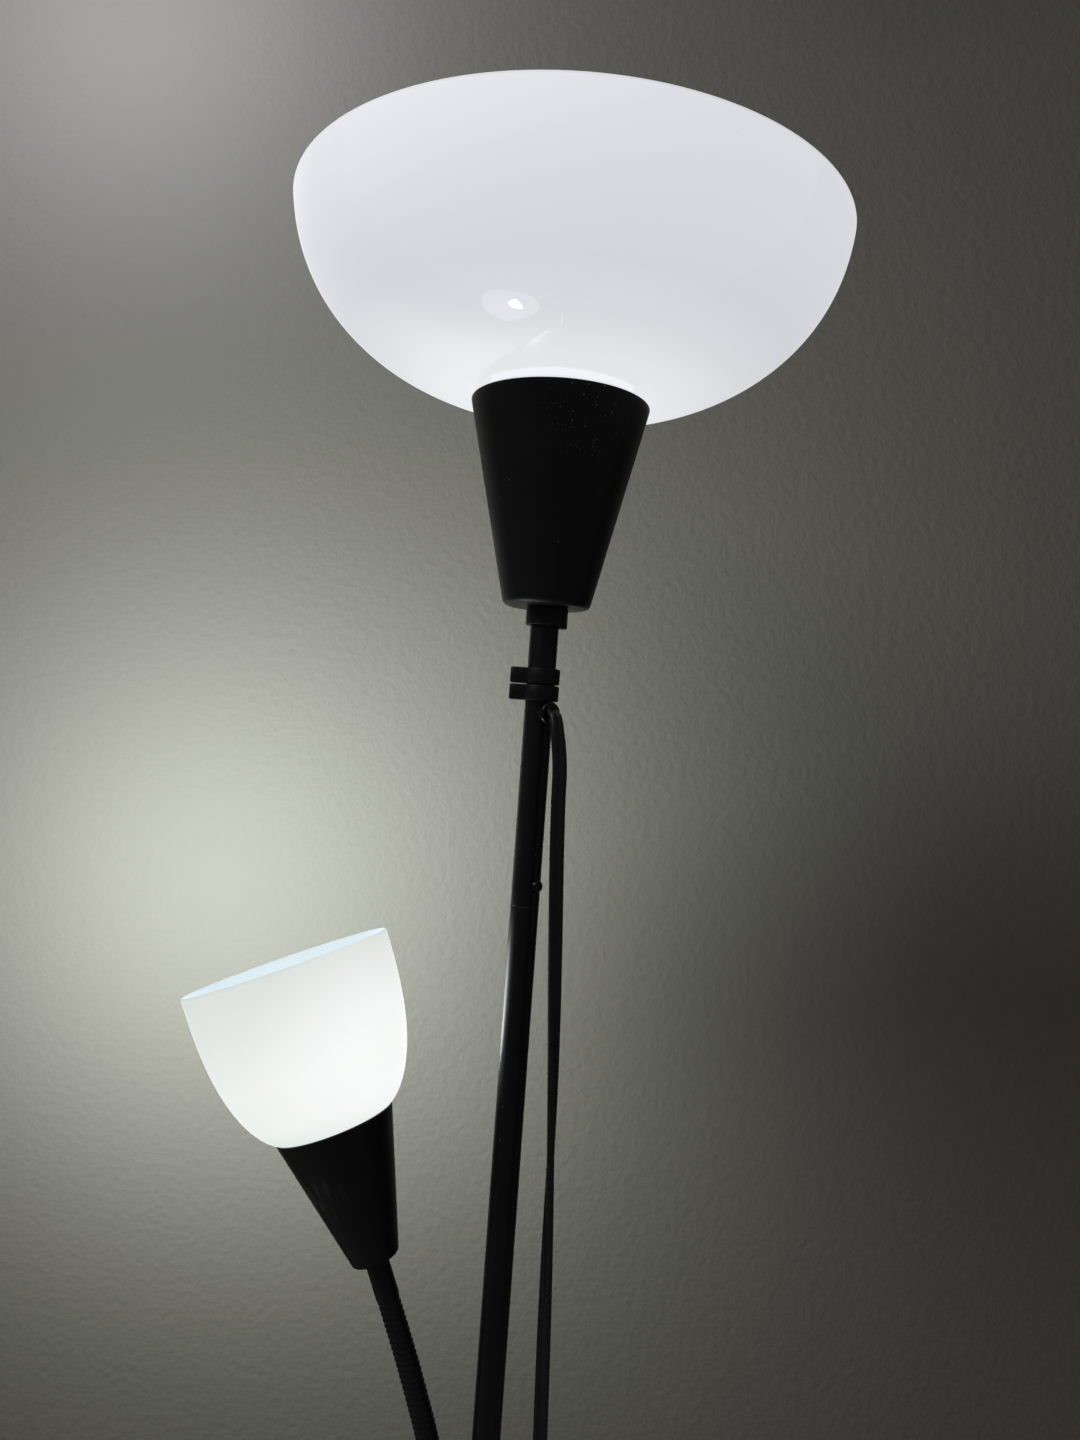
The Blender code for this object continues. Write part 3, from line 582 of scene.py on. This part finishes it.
def build_clamps():
    for which in ("lower", "upper"):
        low, high, _ = extent(f"clamp_ring_{which}")
        rim = [(CLAMP_BORE, CLAMP_EDGE / 2), (CLAMP_BORE + CLAMP_EDGE / 2, 0), (CLAMP_R - CLAMP_EDGE, 0),
               (CLAMP_R - 0.3 * CLAMP_EDGE, 0.3 * CLAMP_EDGE), (CLAMP_R, CLAMP_EDGE)]
        outline = [(r, high - depth) for r, depth in rim] + [(r, low + depth) for r, depth in rim[::-1]]
        ring = turned(f"clamp_band_{which}", outline, PLASTIC, steps=240, reach=ear_reach)
        stands_for(ring, "black_plastic", f"clamp_ring_{which}")


def build_grommet():
    side = side_place("cord_grommet", GROMMET_TURN)
    foot, face, flange = extent("cord_grommet", side)

    def oval(radius, angle):
        """The bore is as wide as the flat cord and no taller than it needs to be."""
        if radius > GROMMET_BORE + 0.1:
            return radius
        wide, tall = CORD_WIDE / 2 + 0.15, CORD_THICK / 2 + 0.25
        return radius / GROMMET_BORE / math.hypot(math.sin(angle) / wide, math.cos(angle) / tall)

    outline = [(GROMMET_BORE, face, 0.4), (flange, face, 1.7), (flange, GROMMET_BACK, 0.3),
               (GROMMET_NECK, GROMMET_BACK), (GROMMET_NECK, foot), (GROMMET_BORE, foot)]
    grommet = turned("cord_bushing", outline, BUSH, side, steps=96, reach=oval)
    stands_for(grommet, "black_plastic", "cord_grommet")


# Coupling, switch and arm
def build_coupling():
    low, high = (corner.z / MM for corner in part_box("arm_coupling"))
    body = rod("arm_coupling_body", COUPLING_R, low, high, AT_ORIGIN, 96)
    boss = place_at((BOSS_X, 0, 0))
    front = side_place("arm_coupling", 0)
    web = [[(BOSS_X, -WEB_HALF, z), (0, -WEB_HALF, z), (0, WEB_HALF, z), (BOSS_X, WEB_HALF, z)]
           for z in (low + BOSS_RISE, high)]
    parts = [rod("boss", BOSS_R, low + BOSS_RISE, high, boss, 72),
             rod("post", SWITCH_R, 2.0, SWITCH_OUT, front, 72),
             piece("web", *skin(web), PLASTIC)]
    past = 5.0  # how far the bores run past the faces that they open
    bores = [rod("pole_bore", POLE_R + GAP, low - past, high + past, AT_ORIGIN, 72),
             rod("stem_bore", STEM_BORE, extent("arm_ferrule")[0] - GAP, high + past, boss),
             rod("switch_pocket", POCKET_R, POCKET_FLOOR, SWITCH_OUT + past, front),
             *[rod("screw_bore", SCREW_BORE, POLE_R, COUPLING_R + past, place) for place in screw_places()]]
    for part in parts + bores:
        boolean = body.modifiers.new(part.name, "BOOLEAN")
        boolean.operation = "UNION" if part in parts else "DIFFERENCE"
        boolean.object = part
    even = body.modifiers.new("even", "REMESH")
    even.mode = "VOXEL"
    even.voxel_size = 0.55 * MM
    soften = body.modifiers.new("soften", "SMOOTH")
    soften.factor = 0.5
    soften.iterations = 5
    apply_modifiers(body)
    for part in parts + bores:
        bpy.data.objects.remove(part, do_unlink=True)
    body.data.shade_smooth()
    stands_for(body, "black_plastic", "arm_coupling")
    build_screws()
    build_knob(front)


def screw_places():
    """The frames of the two set screws at the coupling's back, +Z outwards."""
    return [side_place(f"coupling_screw_{number}", math.pi) for number in (1, 2)]


def build_screws():
    """Set screws with a hexagonal socket."""
    def hexagon(radius, angle):
        if radius > 1.2:
            return radius
        sector = math.radians(60)
        return radius * math.cos(sector / 2) / math.cos((angle % sector) - sector / 2)

    for number, place in enumerate(screw_places(), 1):
        foot, face, shank = extent(f"coupling_screw_{number}", place)
        outline = [(0, face - 1.8), (1.15, face - 1.8), (1.15, face, 0.15), (shank - 0.1, face, 0.4),
                   (shank - 0.1, foot), (0, foot)]
        screw = turned(f"coupling_set_screw_{number}", outline, PLASTIC, place, steps=48, closed=False,
                       reach=hexagon)
        stands_for(screw, "black_plastic", f"coupling_screw_{number}")


def build_knob(front):
    foot, face, grip = extent("switch_knob", front)
    skirt = SWITCH_OUT + 0.6

    def flutes(radius, angle):
        return radius - (0.35 * (0.5 + 0.5 * math.cos(24 * angle)) if radius > 7.2 else 0.0)

    outline = [(0, face - 0.4), (5.2, face - 0.4, 0.3), (5.6, face, 0.3), (6.9, face, 0.8),
               (7.6, face - 0.9, 0.5), (grip, skirt + 1.0, 0.4), (grip - 0.2, skirt, 0.3), (2.4, skirt),
               (2.4, foot), (0, foot)]
    knob = turned("switch_knob_fluted", outline, PLASTIC, front, steps=192, closed=False, reach=flutes)
    stands_for(knob, "black_plastic", "switch_knob", body="knob")


def build_ferrule():
    place = place_at((BOSS_X, 0, 0))
    stem, top, radius = extent("arm_ferrule", place)
    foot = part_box("arm_coupling")[1].z / MM + GAP
    outline = [(0, top), (6.7, top, 0.8), (radius, foot + 8.0, 2.0), (radius, foot, 0.5),
               (STEM_BORE - GAP, foot), (STEM_BORE - GAP, stem), (0, stem)]
    ferrule = turned("arm_ferrule_cap", outline, PLASTIC, place, closed=False)
    stands_for(ferrule, "black_plastic", "arm_ferrule", body="arm_base")


def arm_line(head):
    """The gooseneck's centreline, one point each 0.375 mm: straight links with a soft bend at each hinge."""
    corners = [joint_at("arm_swing"), joint_at("arm_bend_low"), joint_at("arm_bend_middle"),
               joint_at("arm_bend_top"), head.translation / MM]
    soft = 16.0
    line = [corners[0]]
    for before, here, after in zip(corners, corners[1:], corners[2:]):
        start = here + (before - here).normalized() * soft
        end = here + (after - here).normalized() * soft
        line += [start.lerp(here, u).lerp(here.lerp(end, u), u) for u in np.linspace(0, 1, 13)]
    line.append(corners[-1])
    step = RIDGE_PITCH / 8
    lengths = np.concatenate([[0], np.cumsum([(b - a).length for a, b in zip(line, line[1:])])])
    at = np.arange(0, lengths[-1], step)
    return np.stack([np.interp(at, lengths, [p[i] for p in line]) for i in range(3)], axis=1), at, corners


def build_gooseneck(head):
    """Three ridged lengths that meet halfway along the middle links, each bending over one hinge."""
    line, at, corners = arm_line(head)
    links = np.cumsum([0, *[(b - a).length for a, b in zip(corners, corners[1:])]])
    foot = extent("arm_ferrule")[1] - corners[0].z - 1.0
    sleeve = links[4] + extent("reading_sleeve", head)[0]
    meets = [foot, (links[1] + links[2]) / 2, (links[2] + links[3]) / 2, sleeve + 1.0]
    names = [("gooseneck_low", "arm_base", "arm_lower", ("gooseneck_1",)),
             ("gooseneck_middle", "arm_lower", "arm_upper", ("gooseneck_2", "gooseneck_3")),
             ("gooseneck_high", "arm_upper", "reading_light", ("gooseneck_4",))]
    turn = np.arange(36) * 2 * np.pi / 36
    for number, (name, body, next_body, nodes) in enumerate(names):
        inside = (at >= meets[number] - 1e-6) & (at <= meets[number + 1] + 0.4)
        wave = 0.5 + 0.5 * np.cos(2 * np.pi * at[inside] / RIDGE_PITCH)
        radius = GOOSE_R - RIDGE_HEIGHT * (1 - wave ** 0.6)
        section = radius[:, None, None] * np.stack([np.cos(turn), np.sin(turn)], axis=1)
        rings = swept(line[inside], section, np.broadcast_to((0, 1, 0), (inside.sum(), 3)))
        length = piece(name, *skin(rings), GOOSE_PAINT, sharp=60)
        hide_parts(*nodes)
        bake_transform(length)


# Lights
def bowl_side(rim_r, size, stop_r, count=44):
    """The shade's outer side as (radius, depth under the rim): full at the shoulder, drawn in below."""
    side = []
    for i in range(count + 1):
        t = math.sin(math.pi / 2 * i / count)
        swell = max(0.0, 1 - t ** size["p"]) ** (1 / size["q"])
        r = size["core"] + (size["crown"] - size["core"]) * swell + (rim_r - size["crown"]) * (1 - t) ** 2
        if r <= stop_r:
            break
        side.append((r, t * size["height"]))
    return side


def build_shade(name, node_name, body, place, size, cone, mouth_z, outside, inside):
    """A shade: its bowl, its neck inside the cone's mouth and the floor that its ring holds down."""
    floor, rim_z, _ = extent(node_name, place)
    rim_r = size["crown"] + size["flare"]
    wall, neck = size["wall"], size["neck_r"]
    hole = np.hypot(*node_points(node_name, place)[:, :2].T).min()
    side = [(r, rim_z - depth) for r, depth in bowl_side(rim_r, size, cone["mouth_r"] - 0.4)]
    inner = inner_face(side, wall)
    inner[0] = (inner[0][0], rim_z)
    turn_in = mouth_z + 1.8
    outline = [(*side[0], 0.9), *side[1:], (neck, turn_in, 1.0), (neck, floor, 0.8), (hole, floor),
               (hole, floor + wall), (neck - wall, floor + wall, 0.8), (neck - wall, turn_in + wall, 1.0),
               *inner[:0:-1], (*inner[0], 0.9)]
    shade = turned(name, outline, outside, place, steps=160)
    shade.data.materials.append(inside)
    middle = Vector((0, 0, rim_z)) * MM
    for face in shade.data.polygons:
        out = face.center - middle
        face.material_index = int(face.normal.dot(out) < -0.25 * out.length)
    return stands_for(shade, "opal_plastic", node_name, body=body)


def build_cone(name, node_name, body, place, cone, material):
    foot, mouth, _ = extent(node_name, place)
    slope = math.degrees(math.atan2(cone["mouth_r"] - cone["bottom_r"], mouth - foot))
    edge, wall = cone["edge_r"], cone["wall"]
    bend = arc((cone["bottom_r"] - edge + 0.4, foot + edge), edge, 90 + slope, 180, 12)
    top, low = np.array((cone["mouth_r"], mouth)), np.array(bend[0])
    outside = [*[tuple(top + (low - top) * t) for t in np.linspace(0, 1, 30)], *bend[1:]]
    inside = inner_face(outside, wall)
    outline = [(*outside[0], 0.6), *outside[1:], (cone["hole_r"], foot), (cone["hole_r"], foot + wall),
               *inside[:0:-1], (*inside[0], 0.6)]
    made = turned(name, outline, material, place, steps=128)
    return stands_for(made, "black_plastic", node_name, body=body)


def build_bulb(name, node_name, body, place, glass_name, glow):
    """An LED bulb: its lit dome, a shoulder line and a collar with a faint painted glow down to the cap."""
    foot, top, radius = extent(node_name, place)
    middle = top - radius
    waist = middle - radius * 0.60
    outline = [*arc((0, middle), radius, 0, 118, 26), (radius * 0.80, waist, 0.4),
               (radius * 0.79, waist - 0.9, 0.3), (radius * 0.55, foot + 4.0, 2.0),
               (radius * 0.48, foot, 0.4), (0, foot)]
    bulb = turned(name, outline, bulb_glass(glass_name, waist, glow), place, steps=96, closed=False)
    return stands_for(bulb, "bulb_white", node_name, body=body)


def build_lock_ring(name, node_name, body, place):
    """The threaded ring that holds a shade on its socket, with grips round its edge."""
    low, high, outer = extent(node_name, place)
    bore = np.hypot(*node_points(node_name, place)[:, :2].T).min()

    def grips(radius, angle):
        return radius - (0.5 if radius > outer - 1.0 and math.cos(18 * angle) > 0.4 else 0.0)

    ring = turned(name, [(bore, high), (outer, high, 0.5), (outer, low, 0.3), (bore, low)], PLASTIC, place,
                  steps=216, reach=grips)
    return stands_for(ring, "black_plastic", node_name, body=body)


def build_collar():
    """The collar under the uplighter's cone, and the short lug below its right side."""
    place = place_at((COLLAR_X, 0, 0))
    low, high, _ = extent("cone_collar", place)
    outline = [(COLLAR_BORE, high), (COLLAR_R, high, 0.6), (COLLAR_R, low, 0.6), (COLLAR_BORE, low)]
    stands_for(turned("cone_collar_ring", outline, PLASTIC, place), "black_plastic", "cone_collar")
    section = [(7.2, -4.2), (10.6, -4.0), (11.6, -2.2), (11.8, 0.0), (11.6, 2.2), (10.6, 4.0), (7.2, 4.2)]
    middle = 9.6
    rings = [[(middle + (x - middle) * share, y * share, low + rise) for x, y in section]
             for rise, share in ((0.6, 1.0), (-0.6, 1.0), (-0.9, 0.96), (-1.0, 0.9))]
    stands_for(piece("cone_collar_lug", *skin(rings), PLASTIC), "black_plastic")


def build_uplighter():
    build_collar()
    dusty = black_moulding("dusty_black_plastic", BLACK_RGB, 0.40, dust_at=(16, -42, 1698))
    build_cone("uplight_cone_shell", "uplight_cone", "lamp", AT_ORIGIN, BOWL_CONE, dusty)
    outside = opal("lit_opal_bowl", [(0.0, (0.52, 0.53, 0.56)), (0.012, (0.645, 0.655, 0.69)),
                                     (0.35, (0.62, 0.63, 0.67)), (0.67, (0.58, 0.595, 0.635)),
                                     (0.85, (0.635, 0.645, 0.68)), (0.95, (0.71, 0.725, 0.755)),
                                     (1.0, (0.73, 0.745, 0.775))],
                   1712.0, 1800.0, 0.015, 0.75)
    inside = lit_inside("lit_opal_bowl_inside", (0.60, 0.62, 0.66))
    build_shade("uplight_bowl", "uplight_shade", "lamp", AT_ORIGIN, BOWL, BOWL_CONE,
                extent("uplight_cone")[1], outside, inside)
    build_bulb("uplight_led_bulb", "uplight_bulb", "lamp", AT_ORIGIN, "lit_bulb_dome", 0.9)
    build_lock_ring("uplight_lock_ring", "uplight_shade_ring", "lamp", AT_ORIGIN)


def build_reading_light(head):
    """The light at the gooseneck's end; returns its shade."""
    low, high, radius = extent("reading_sleeve", head)
    bore = SMALL_CONE["hole_r"]
    outline = [(bore, high), (radius, high, 0.4), (radius, low + 1.2), (radius - 0.5, low, 0.4), (bore, low)]
    sleeve = turned("reading_sleeve_tube", outline, PAINT, head, steps=72)
    stands_for(sleeve, "black_paint", "reading_sleeve", body="reading_light")
    # the reading cone gets painted glare streaks on its left side
    glare_streaked_plastic = black_moulding("scuffed_black_plastic", BLACK_RGB, 0.42, glare_at=(-13, -19, 45))
    build_cone("reading_cone_shell", "reading_cone", "reading_light", head, SMALL_CONE, glare_streaked_plastic)
    outside = opal("lit_opal_shade", [(0.0, (0.46, 0.50, 0.50)), (0.012, (0.60, 0.635, 0.61)),
                                      (0.3, (0.67, 0.71, 0.68)), (0.6, (0.77, 0.80, 0.775)),
                                      (0.85, (0.78, 0.82, 0.795)), (1.0, (0.68, 0.75, 0.72))],
                   74.0, 164.3, 0.35, 0.3, ((46, -26, 108), 75, 0.5))
    inside = lit_inside("lit_opal_shade_inside", (0.585, 0.70, 0.74))
    shade = build_shade("reading_bowl", "reading_shade", "reading_light", head, SMALL_BOWL, SMALL_CONE,
                        extent("reading_cone", head)[1], outside, inside)
    build_bulb("reading_led_bulb", "reading_bulb", "reading_light", head, "lit_small_bulb_dome", 6.0)
    build_lock_ring("reading_lock_ring", "reading_shade_ring", "reading_light", head)
    return shade


# Cord
def coil_line():
    """The coil: three turns in on the floor, a climb at the middle, and three turns out on top.

    The cord joins at the right, heading away, and leaves at the back, heading left.
    """
    outer = COIL_OUTER - CORD_THICK / 2 - 0.2
    join, climb, settle, leave = (math.radians(a) for a in (15, 1095, 1170, 2250))
    inner = outer - COIL_PITCH * (settle - join) / (2 * math.pi)
    line = []
    for turn in np.arange(join, leave + 0.001, math.radians(3)):
        shrink = COIL_PITCH * (turn - join) / (2 * math.pi)
        grow = (outer - inner) * (turn - settle) / (leave - settle)
        radius = outer - shrink if turn < settle else inner + grow
        low, high = COIL_LAYERS_Z
        z = low + (high - low) * smoothstep(climb, settle, turn)
        line.append(COIL_AT + Vector((radius * math.cos(turn), radius * math.sin(turn), z)))
    return line


def cord_across(line, coil_start, coil_end):
    """Which way the flat cord's broad side lies at each point.

    It faces the viewer at the top, turns over once as it hangs, lands flat, stands on edge in the coil and
    lies flat again at the plug.
    """
    across = []
    for i, (point, direction) in enumerate(zip(line, tangents(line))):
        height = point[2]
        turn = math.pi * (1 - smoothstep(1140, 1500, height))
        turn -= math.radians(41) * (1 - smoothstep(100, 900, height))
        turn += GROMMET_TURN * smoothstep(1522, 1547, height)
        hanging = Vector((math.cos(turn), math.sin(turn), 0))
        lying = Vector((-direction[1], direction[0], 0)).normalized()
        flat = lying.lerp(hanging, smoothstep(5, 60, height))
        edge = smoothstep(coil_start - 34, coil_start - 8, i) * (1 - smoothstep(coil_end, coil_end + 26, i))
        across.append(flat.lerp(UP, edge))
    return across


def clear_of_floor(line, across):
    """The line with its low points raised until the flat cord's section just rests on the floor."""
    raised = []
    for point, direction, wide in zip(line, tangents(line), across):
        wide = (wide - Vector(direction) * wide.dot(Vector(direction))).normalized()
        thick = Vector(direction).cross(wide)
        half = math.hypot(wide.z * CORD_WIDE / 2, thick.z * CORD_THICK / 2)
        raised.append(Vector((point.x, point.y, max(point.z, half + 0.2))))
    return raised


def cord_section(count=28):
    """Two round cores side by side with a shallow groove between them."""
    angles = np.arange(count) * 2 * np.pi / count
    x = np.cos(angles) * CORD_WIDE / 2
    lobe = (CORD_WIDE - CORD_THICK) / 2
    height = np.sqrt(np.maximum(0, (CORD_THICK / 2) ** 2 - (np.abs(x) - lobe) ** 2))
    web = CORD_THICK / 2 * 0.74
    height = np.where(np.abs(x) < lobe, np.maximum(height, web), height)
    return np.stack([x, np.sign(np.sin(angles).round(6)) * height], axis=1)


def build_cord():
    """The cord in one length: down beside the pole, behind the base, round the coil and into the plug."""
    hanging, lying = 3.0, 2.5  # steps between the line's points
    run = through([CORD_START, *CORD_ROUTE], hanging)
    coil = coil_line()
    join = stretch(Vector(CORD_ROUTE[-2]), Vector(CORD_ROUTE[-1]), coil[0], coil[12], lying)[1:]
    leave = stretch(coil[-8], coil[-1], Vector(TAIL_ROUTE[0]), Vector(TAIL_ROUTE[1]), lying)[1:]
    tail = through(TAIL_ROUTE, lying)
    line = [*run, *join, *coil, *leave, *tail]
    coil_start = len(run) + len(join)
    across = cord_across(line, coil_start, coil_start + len(coil))
    line = clear_of_floor(line, across)
    rings = swept(line, cord_section(), across)
    cord = piece("power_cord", *skin(rings), VINYL, sharp=70)
    stands_for(cord, "cord_pvc", "cord_run", "cord_coil", "cord_tail")
    place = place_at(PLUG_AT, PLUG_AXIS, UP)
    pieces = [build_plug(place), *build_blades(place), build_tie()]


def rounded_square(wide, tall, power, count=48):
    """A rounded rectangle's outline; power 2 is an ellipse."""
    angles = np.arange(count) * 2 * np.pi / count
    turns = np.stack([np.cos(angles), np.sin(angles)], axis=1)
    return np.array([wide, tall]) * np.sign(turns) * np.abs(turns) ** (2 / power)


def build_plug(place):
    """The moulded plug: a face for the blades, finger ridges, and a ribbed relief that tapers to the cord."""
    foot, face, _ = extent("plug_body", place)
    relief = 20.0
    rings = []
    for z in np.concatenate([np.linspace(-relief, foot, 45), np.linspace(foot + 0.4, face - 1.6, 46),
                             face - 1.6 * (1 - np.sin(np.linspace(0.1, np.pi / 2, 8)))]):
        if z < foot:
            share = smoothstep(-relief, foot, z)
            rib = 0.35 * max(0.0, math.cos(2 * math.pi * z / 3.2))
            wide, tall, power = 4.4 + 3.2 * share + rib, 2.6 + 2.0 * share + rib, 2.6
        else:
            share = smoothstep(foot, foot + 9.0, z)
            grip = 0.45 * max(0.0, math.sin(2 * math.pi * (z - foot) / 2.6)) * (foot + 9 < z < face - 8)
            wide, tall, power = 7.6 + 2.8 * share - grip, 4.6 + 2.3 * share - grip, 2.6 + 1.6 * share
        inset = 1.6 - math.sqrt(max(0.0, 1.6 ** 2 - max(0.0, z - face + 1.6) ** 2))
        outline = rounded_square(tall - inset, wide - inset, power)
        rings.append([(a, b, z) for a, b in outline])
    plug = piece("plug_moulding", *skin(rings), VINYL, place, sharp=50)
    return stands_for(plug, "cord_pvc", "plug_body")


def build_blades(place):
    """Two flat blades with rounded tips and a hole near each tip."""
    blades = []
    for side in ("left", "right"):
        points = node_points(f"plug_blade_{side}", place)
        low, high = points.min(axis=0), points.max(axis=0)
        half, hole_r, edge = (high[0] - low[0]) / 2, 1.6, 0.25
        hole_z, shoulder = high[2] - 4.4, high[2] - half * 0.8
        sides = [(half, z) for z in np.linspace(low[2], shoulder, 12)]
        tip = [(half * math.cos(a), shoulder + half * 0.8 * math.sin(a))
               for a in np.linspace(0.15, math.pi / 2, 8)]
        right = sides + tip
        outline = np.array(right + [(-x, z) for x, z in right[-2::-1]]) - (0, hole_z)
        angles = np.arctan2(outline[:, 1], outline[:, 0])
        hole = hole_r * np.stack([np.cos(angles), np.sin(angles)], axis=1)
        rings = []
        for shape, y, inset in ((hole, high[1], 0), (outline, high[1], edge), (outline, high[1] - edge, 0),
                                (outline, low[1] + edge, 0), (outline, low[1], edge), (hole, low[1], 0)):
            rings.append([(u, y, hole_z + v) for u, v in shape * (1 - inset / half)])
        blade = piece(f"plug_prong_{side}", *skin(rings, closed=True), BRASS, place)
        blades.append(stands_for(blade, "contact_brass", f"plug_blade_{side}"))
    return blades


def build_tie():
    """A twist tie round the coil, near its back left, with its two ends twisted together outside."""
    turn = math.radians(200)
    out = Vector((math.cos(turn), math.sin(turn), 0))
    middle = COIL_AT + out * 42.3 + UP * 8.15
    loop = [middle + out * a + UP * b for a, b in rounded_square(9.3, 8.0, 7, 60)]
    rings = swept([*loop, loop[0], loop[1]], [(2.0, 0.25), (-2.0, 0.25), (-2.0, -0.25), (2.0, -0.25)],
                  [Vector((-out.y, out.x, 0))] * 62)[:-2]
    band = piece("coil_tie", *skin(rings, closed=True), VINYL)
    return stands_for(band, "cord_pvc")


# Stage, light and camera
def plaster(name, color, grain):
    """A painted surface with a fine stipple that is seen from its front only."""
    made = finish(name, color, 0.8, Specular_IOR_Level=0.25)
    bump(made, noise(made, grain, 5.0), 1.2, 0.9)
    clear = node(made, "BsdfTransparent")
    back = node(made, "NewGeometry").outputs["Backfacing"]
    shader, output = made.node_tree.nodes["Principled BSDF"], made.node_tree.nodes["Material Output"]
    both = node(made, "MixShader", {0: back, 1: shader.outputs[0], 2: clear.outputs[0]})
    made.node_tree.links.new(both.outputs[0], output.inputs["Surface"])
    return made


def plane(name, corners, facing, material):
    made = piece(name, corners, [(0, 1, 2, 3)], material)
    if made.data.polygons[0].normal.dot(facing) < 0:
        made.data.flip_normals()
    return made


def build_stage():
    """A pale floor, and a wall close behind the lamp that takes its light; returns the wall."""
    half = 6000
    corners = [(x, y, -0.2) for x, y in ((-half, -half), (half, -half), (half, half), (-half, half))]
    floor = plane("floor", corners, UP, plaster("pale_floor", (0.74, 0.73, 0.70), 60.0))
    half, behind, top = 2500, 300, 3000
    corners = [(x, behind, z) for x, z in ((-half, 0), (half, 0), (half, top), (-half, top))]
    wall = plane("wall", corners, Vector((0, -1, 0)), plaster("pale_wall", (0.105, 0.095, 0.082), 150.0))
    wall.visible_shadow = False
    wall.visible_diffuse = False
    return wall


def area_light(name, at, towards, size, power, color, lit=()):
    """A round light (metres, watts), unseen by the camera, on everything or on the lit objects alone."""
    data = bpy.data.lights.new(name, "AREA")
    data.shape = "DISK"
    data.size = size
    data.energy = power
    data.color = color
    made = bpy.data.objects.new(name, data)
    bpy.context.scene.collection.objects.link(made)
    made.location = at
    made.rotation_euler = (Vector(towards) - Vector(at)).to_track_quat("-Z", "Y").to_euler()
    made.visible_camera = False
    if lit:
        receivers = bpy.data.collections.new(f"lit_by_{name}")
        for each in lit:
            receivers.objects.link(each)
        made.light_linking.receiver_collection = receivers
    return made


def build_light(wall, head, shade):
    """A soft key from high on the left, a dim surround, and the lamp's own light on wall and lamp."""
    area_light("soft_key", (-1.1, -0.9, 2.9), (0, 0, 1.2), 1.2, 15.0, (1.0, 0.99, 0.97))
    area_light("reading_pool", (-0.265, -0.02, 1.38), (-0.19, 0.30, 1.45), 0.13, 6.6, (0.82, 0.93, 0.93),
               [wall])
    area_light("uplight_fan", (-0.36, 0.02, 2.09), (-0.42, 0.30, 2.13), 0.15, 2.7, (0.80, 0.88, 1.0), [wall])
    near_names = ("pole_", "uplight_cone_", "cone_collar_", "clamp_", "cord_bushing")
    lit = [made for made in bpy.context.scene.objects if made.name.startswith(near_names)]
    middle, flank, mouth, above = (head @ (Vector(point) * MM)
                                   for point in ((0, 0, 118), (52, 24, 118), (0, 0, 166), (0, 0, 300)))
    for name, at, towards, size, power in (("shade_mouth_glow", mouth, above, 0.09, 0.30),
                                           ("shade_side_glow", flank, 2 * flank - middle, 0.07, 0.20)):
        glow = area_light(name, at, towards, size, power, (0.95, 1.0, 0.98), lit)
        bpy.context.view_layer.update()
        glow.parent = shade
        glow.matrix_parent_inverse = shade.matrix_world.inverted()
    world = bpy.data.worlds.new("studio")
    world.use_nodes = True
    background = world.node_tree.nodes["Background"]
    background.inputs["Color"].default_value = (0.72, 0.72, 0.71, 1)
    background.inputs["Strength"].default_value = 0.20
    bpy.context.scene.world = world


CAMERA_AT = Vector((0, -0.570, 1.5387))
CAMERA_YAW, CAMERA_PITCH, CAMERA_ROLL = (math.radians(a) for a in (0.106, 0.546, 4.126))
CAMERA_LENS, CAMERA_SENSOR = 27.03, 36.0


def build_camera():
    onward = Vector((math.sin(CAMERA_YAW), math.cos(CAMERA_YAW), 0))
    forward = onward * math.cos(CAMERA_PITCH) + UP * math.sin(CAMERA_PITCH)
    level = Vector((math.cos(CAMERA_YAW), -math.sin(CAMERA_YAW), 0))
    above = level.cross(forward)
    right = level * math.cos(CAMERA_ROLL) + above * math.sin(CAMERA_ROLL)
    top = above * math.cos(CAMERA_ROLL) - level * math.sin(CAMERA_ROLL)
    data = bpy.data.cameras.new("camera")
    data.lens = CAMERA_LENS
    data.sensor_width = CAMERA_SENSOR
    camera = bpy.data.objects.new("camera", data)
    bpy.context.scene.collection.objects.link(camera)
    camera.matrix_world = Matrix.Translation(CAMERA_AT) @ Matrix((right, top, -forward)).transposed().to_4x4()
    bpy.context.scene.camera = camera
    bpy.context.scene.view_settings.view_transform = "Standard"


def build():
    head = axis_frame("reading_nipple", "reading_cone")
    build_camera()
    finish_cad_nodes()
    build_base()
    build_pole()
    build_clamps()
    build_grommet()
    build_cord()
    build_coupling()
    build_ferrule()
    build_gooseneck(head)
    build_uplighter()
    shade = build_reading_light(head)
    build_light(build_stage(), head, shade)


build()
bpy.context.view_layer.update()
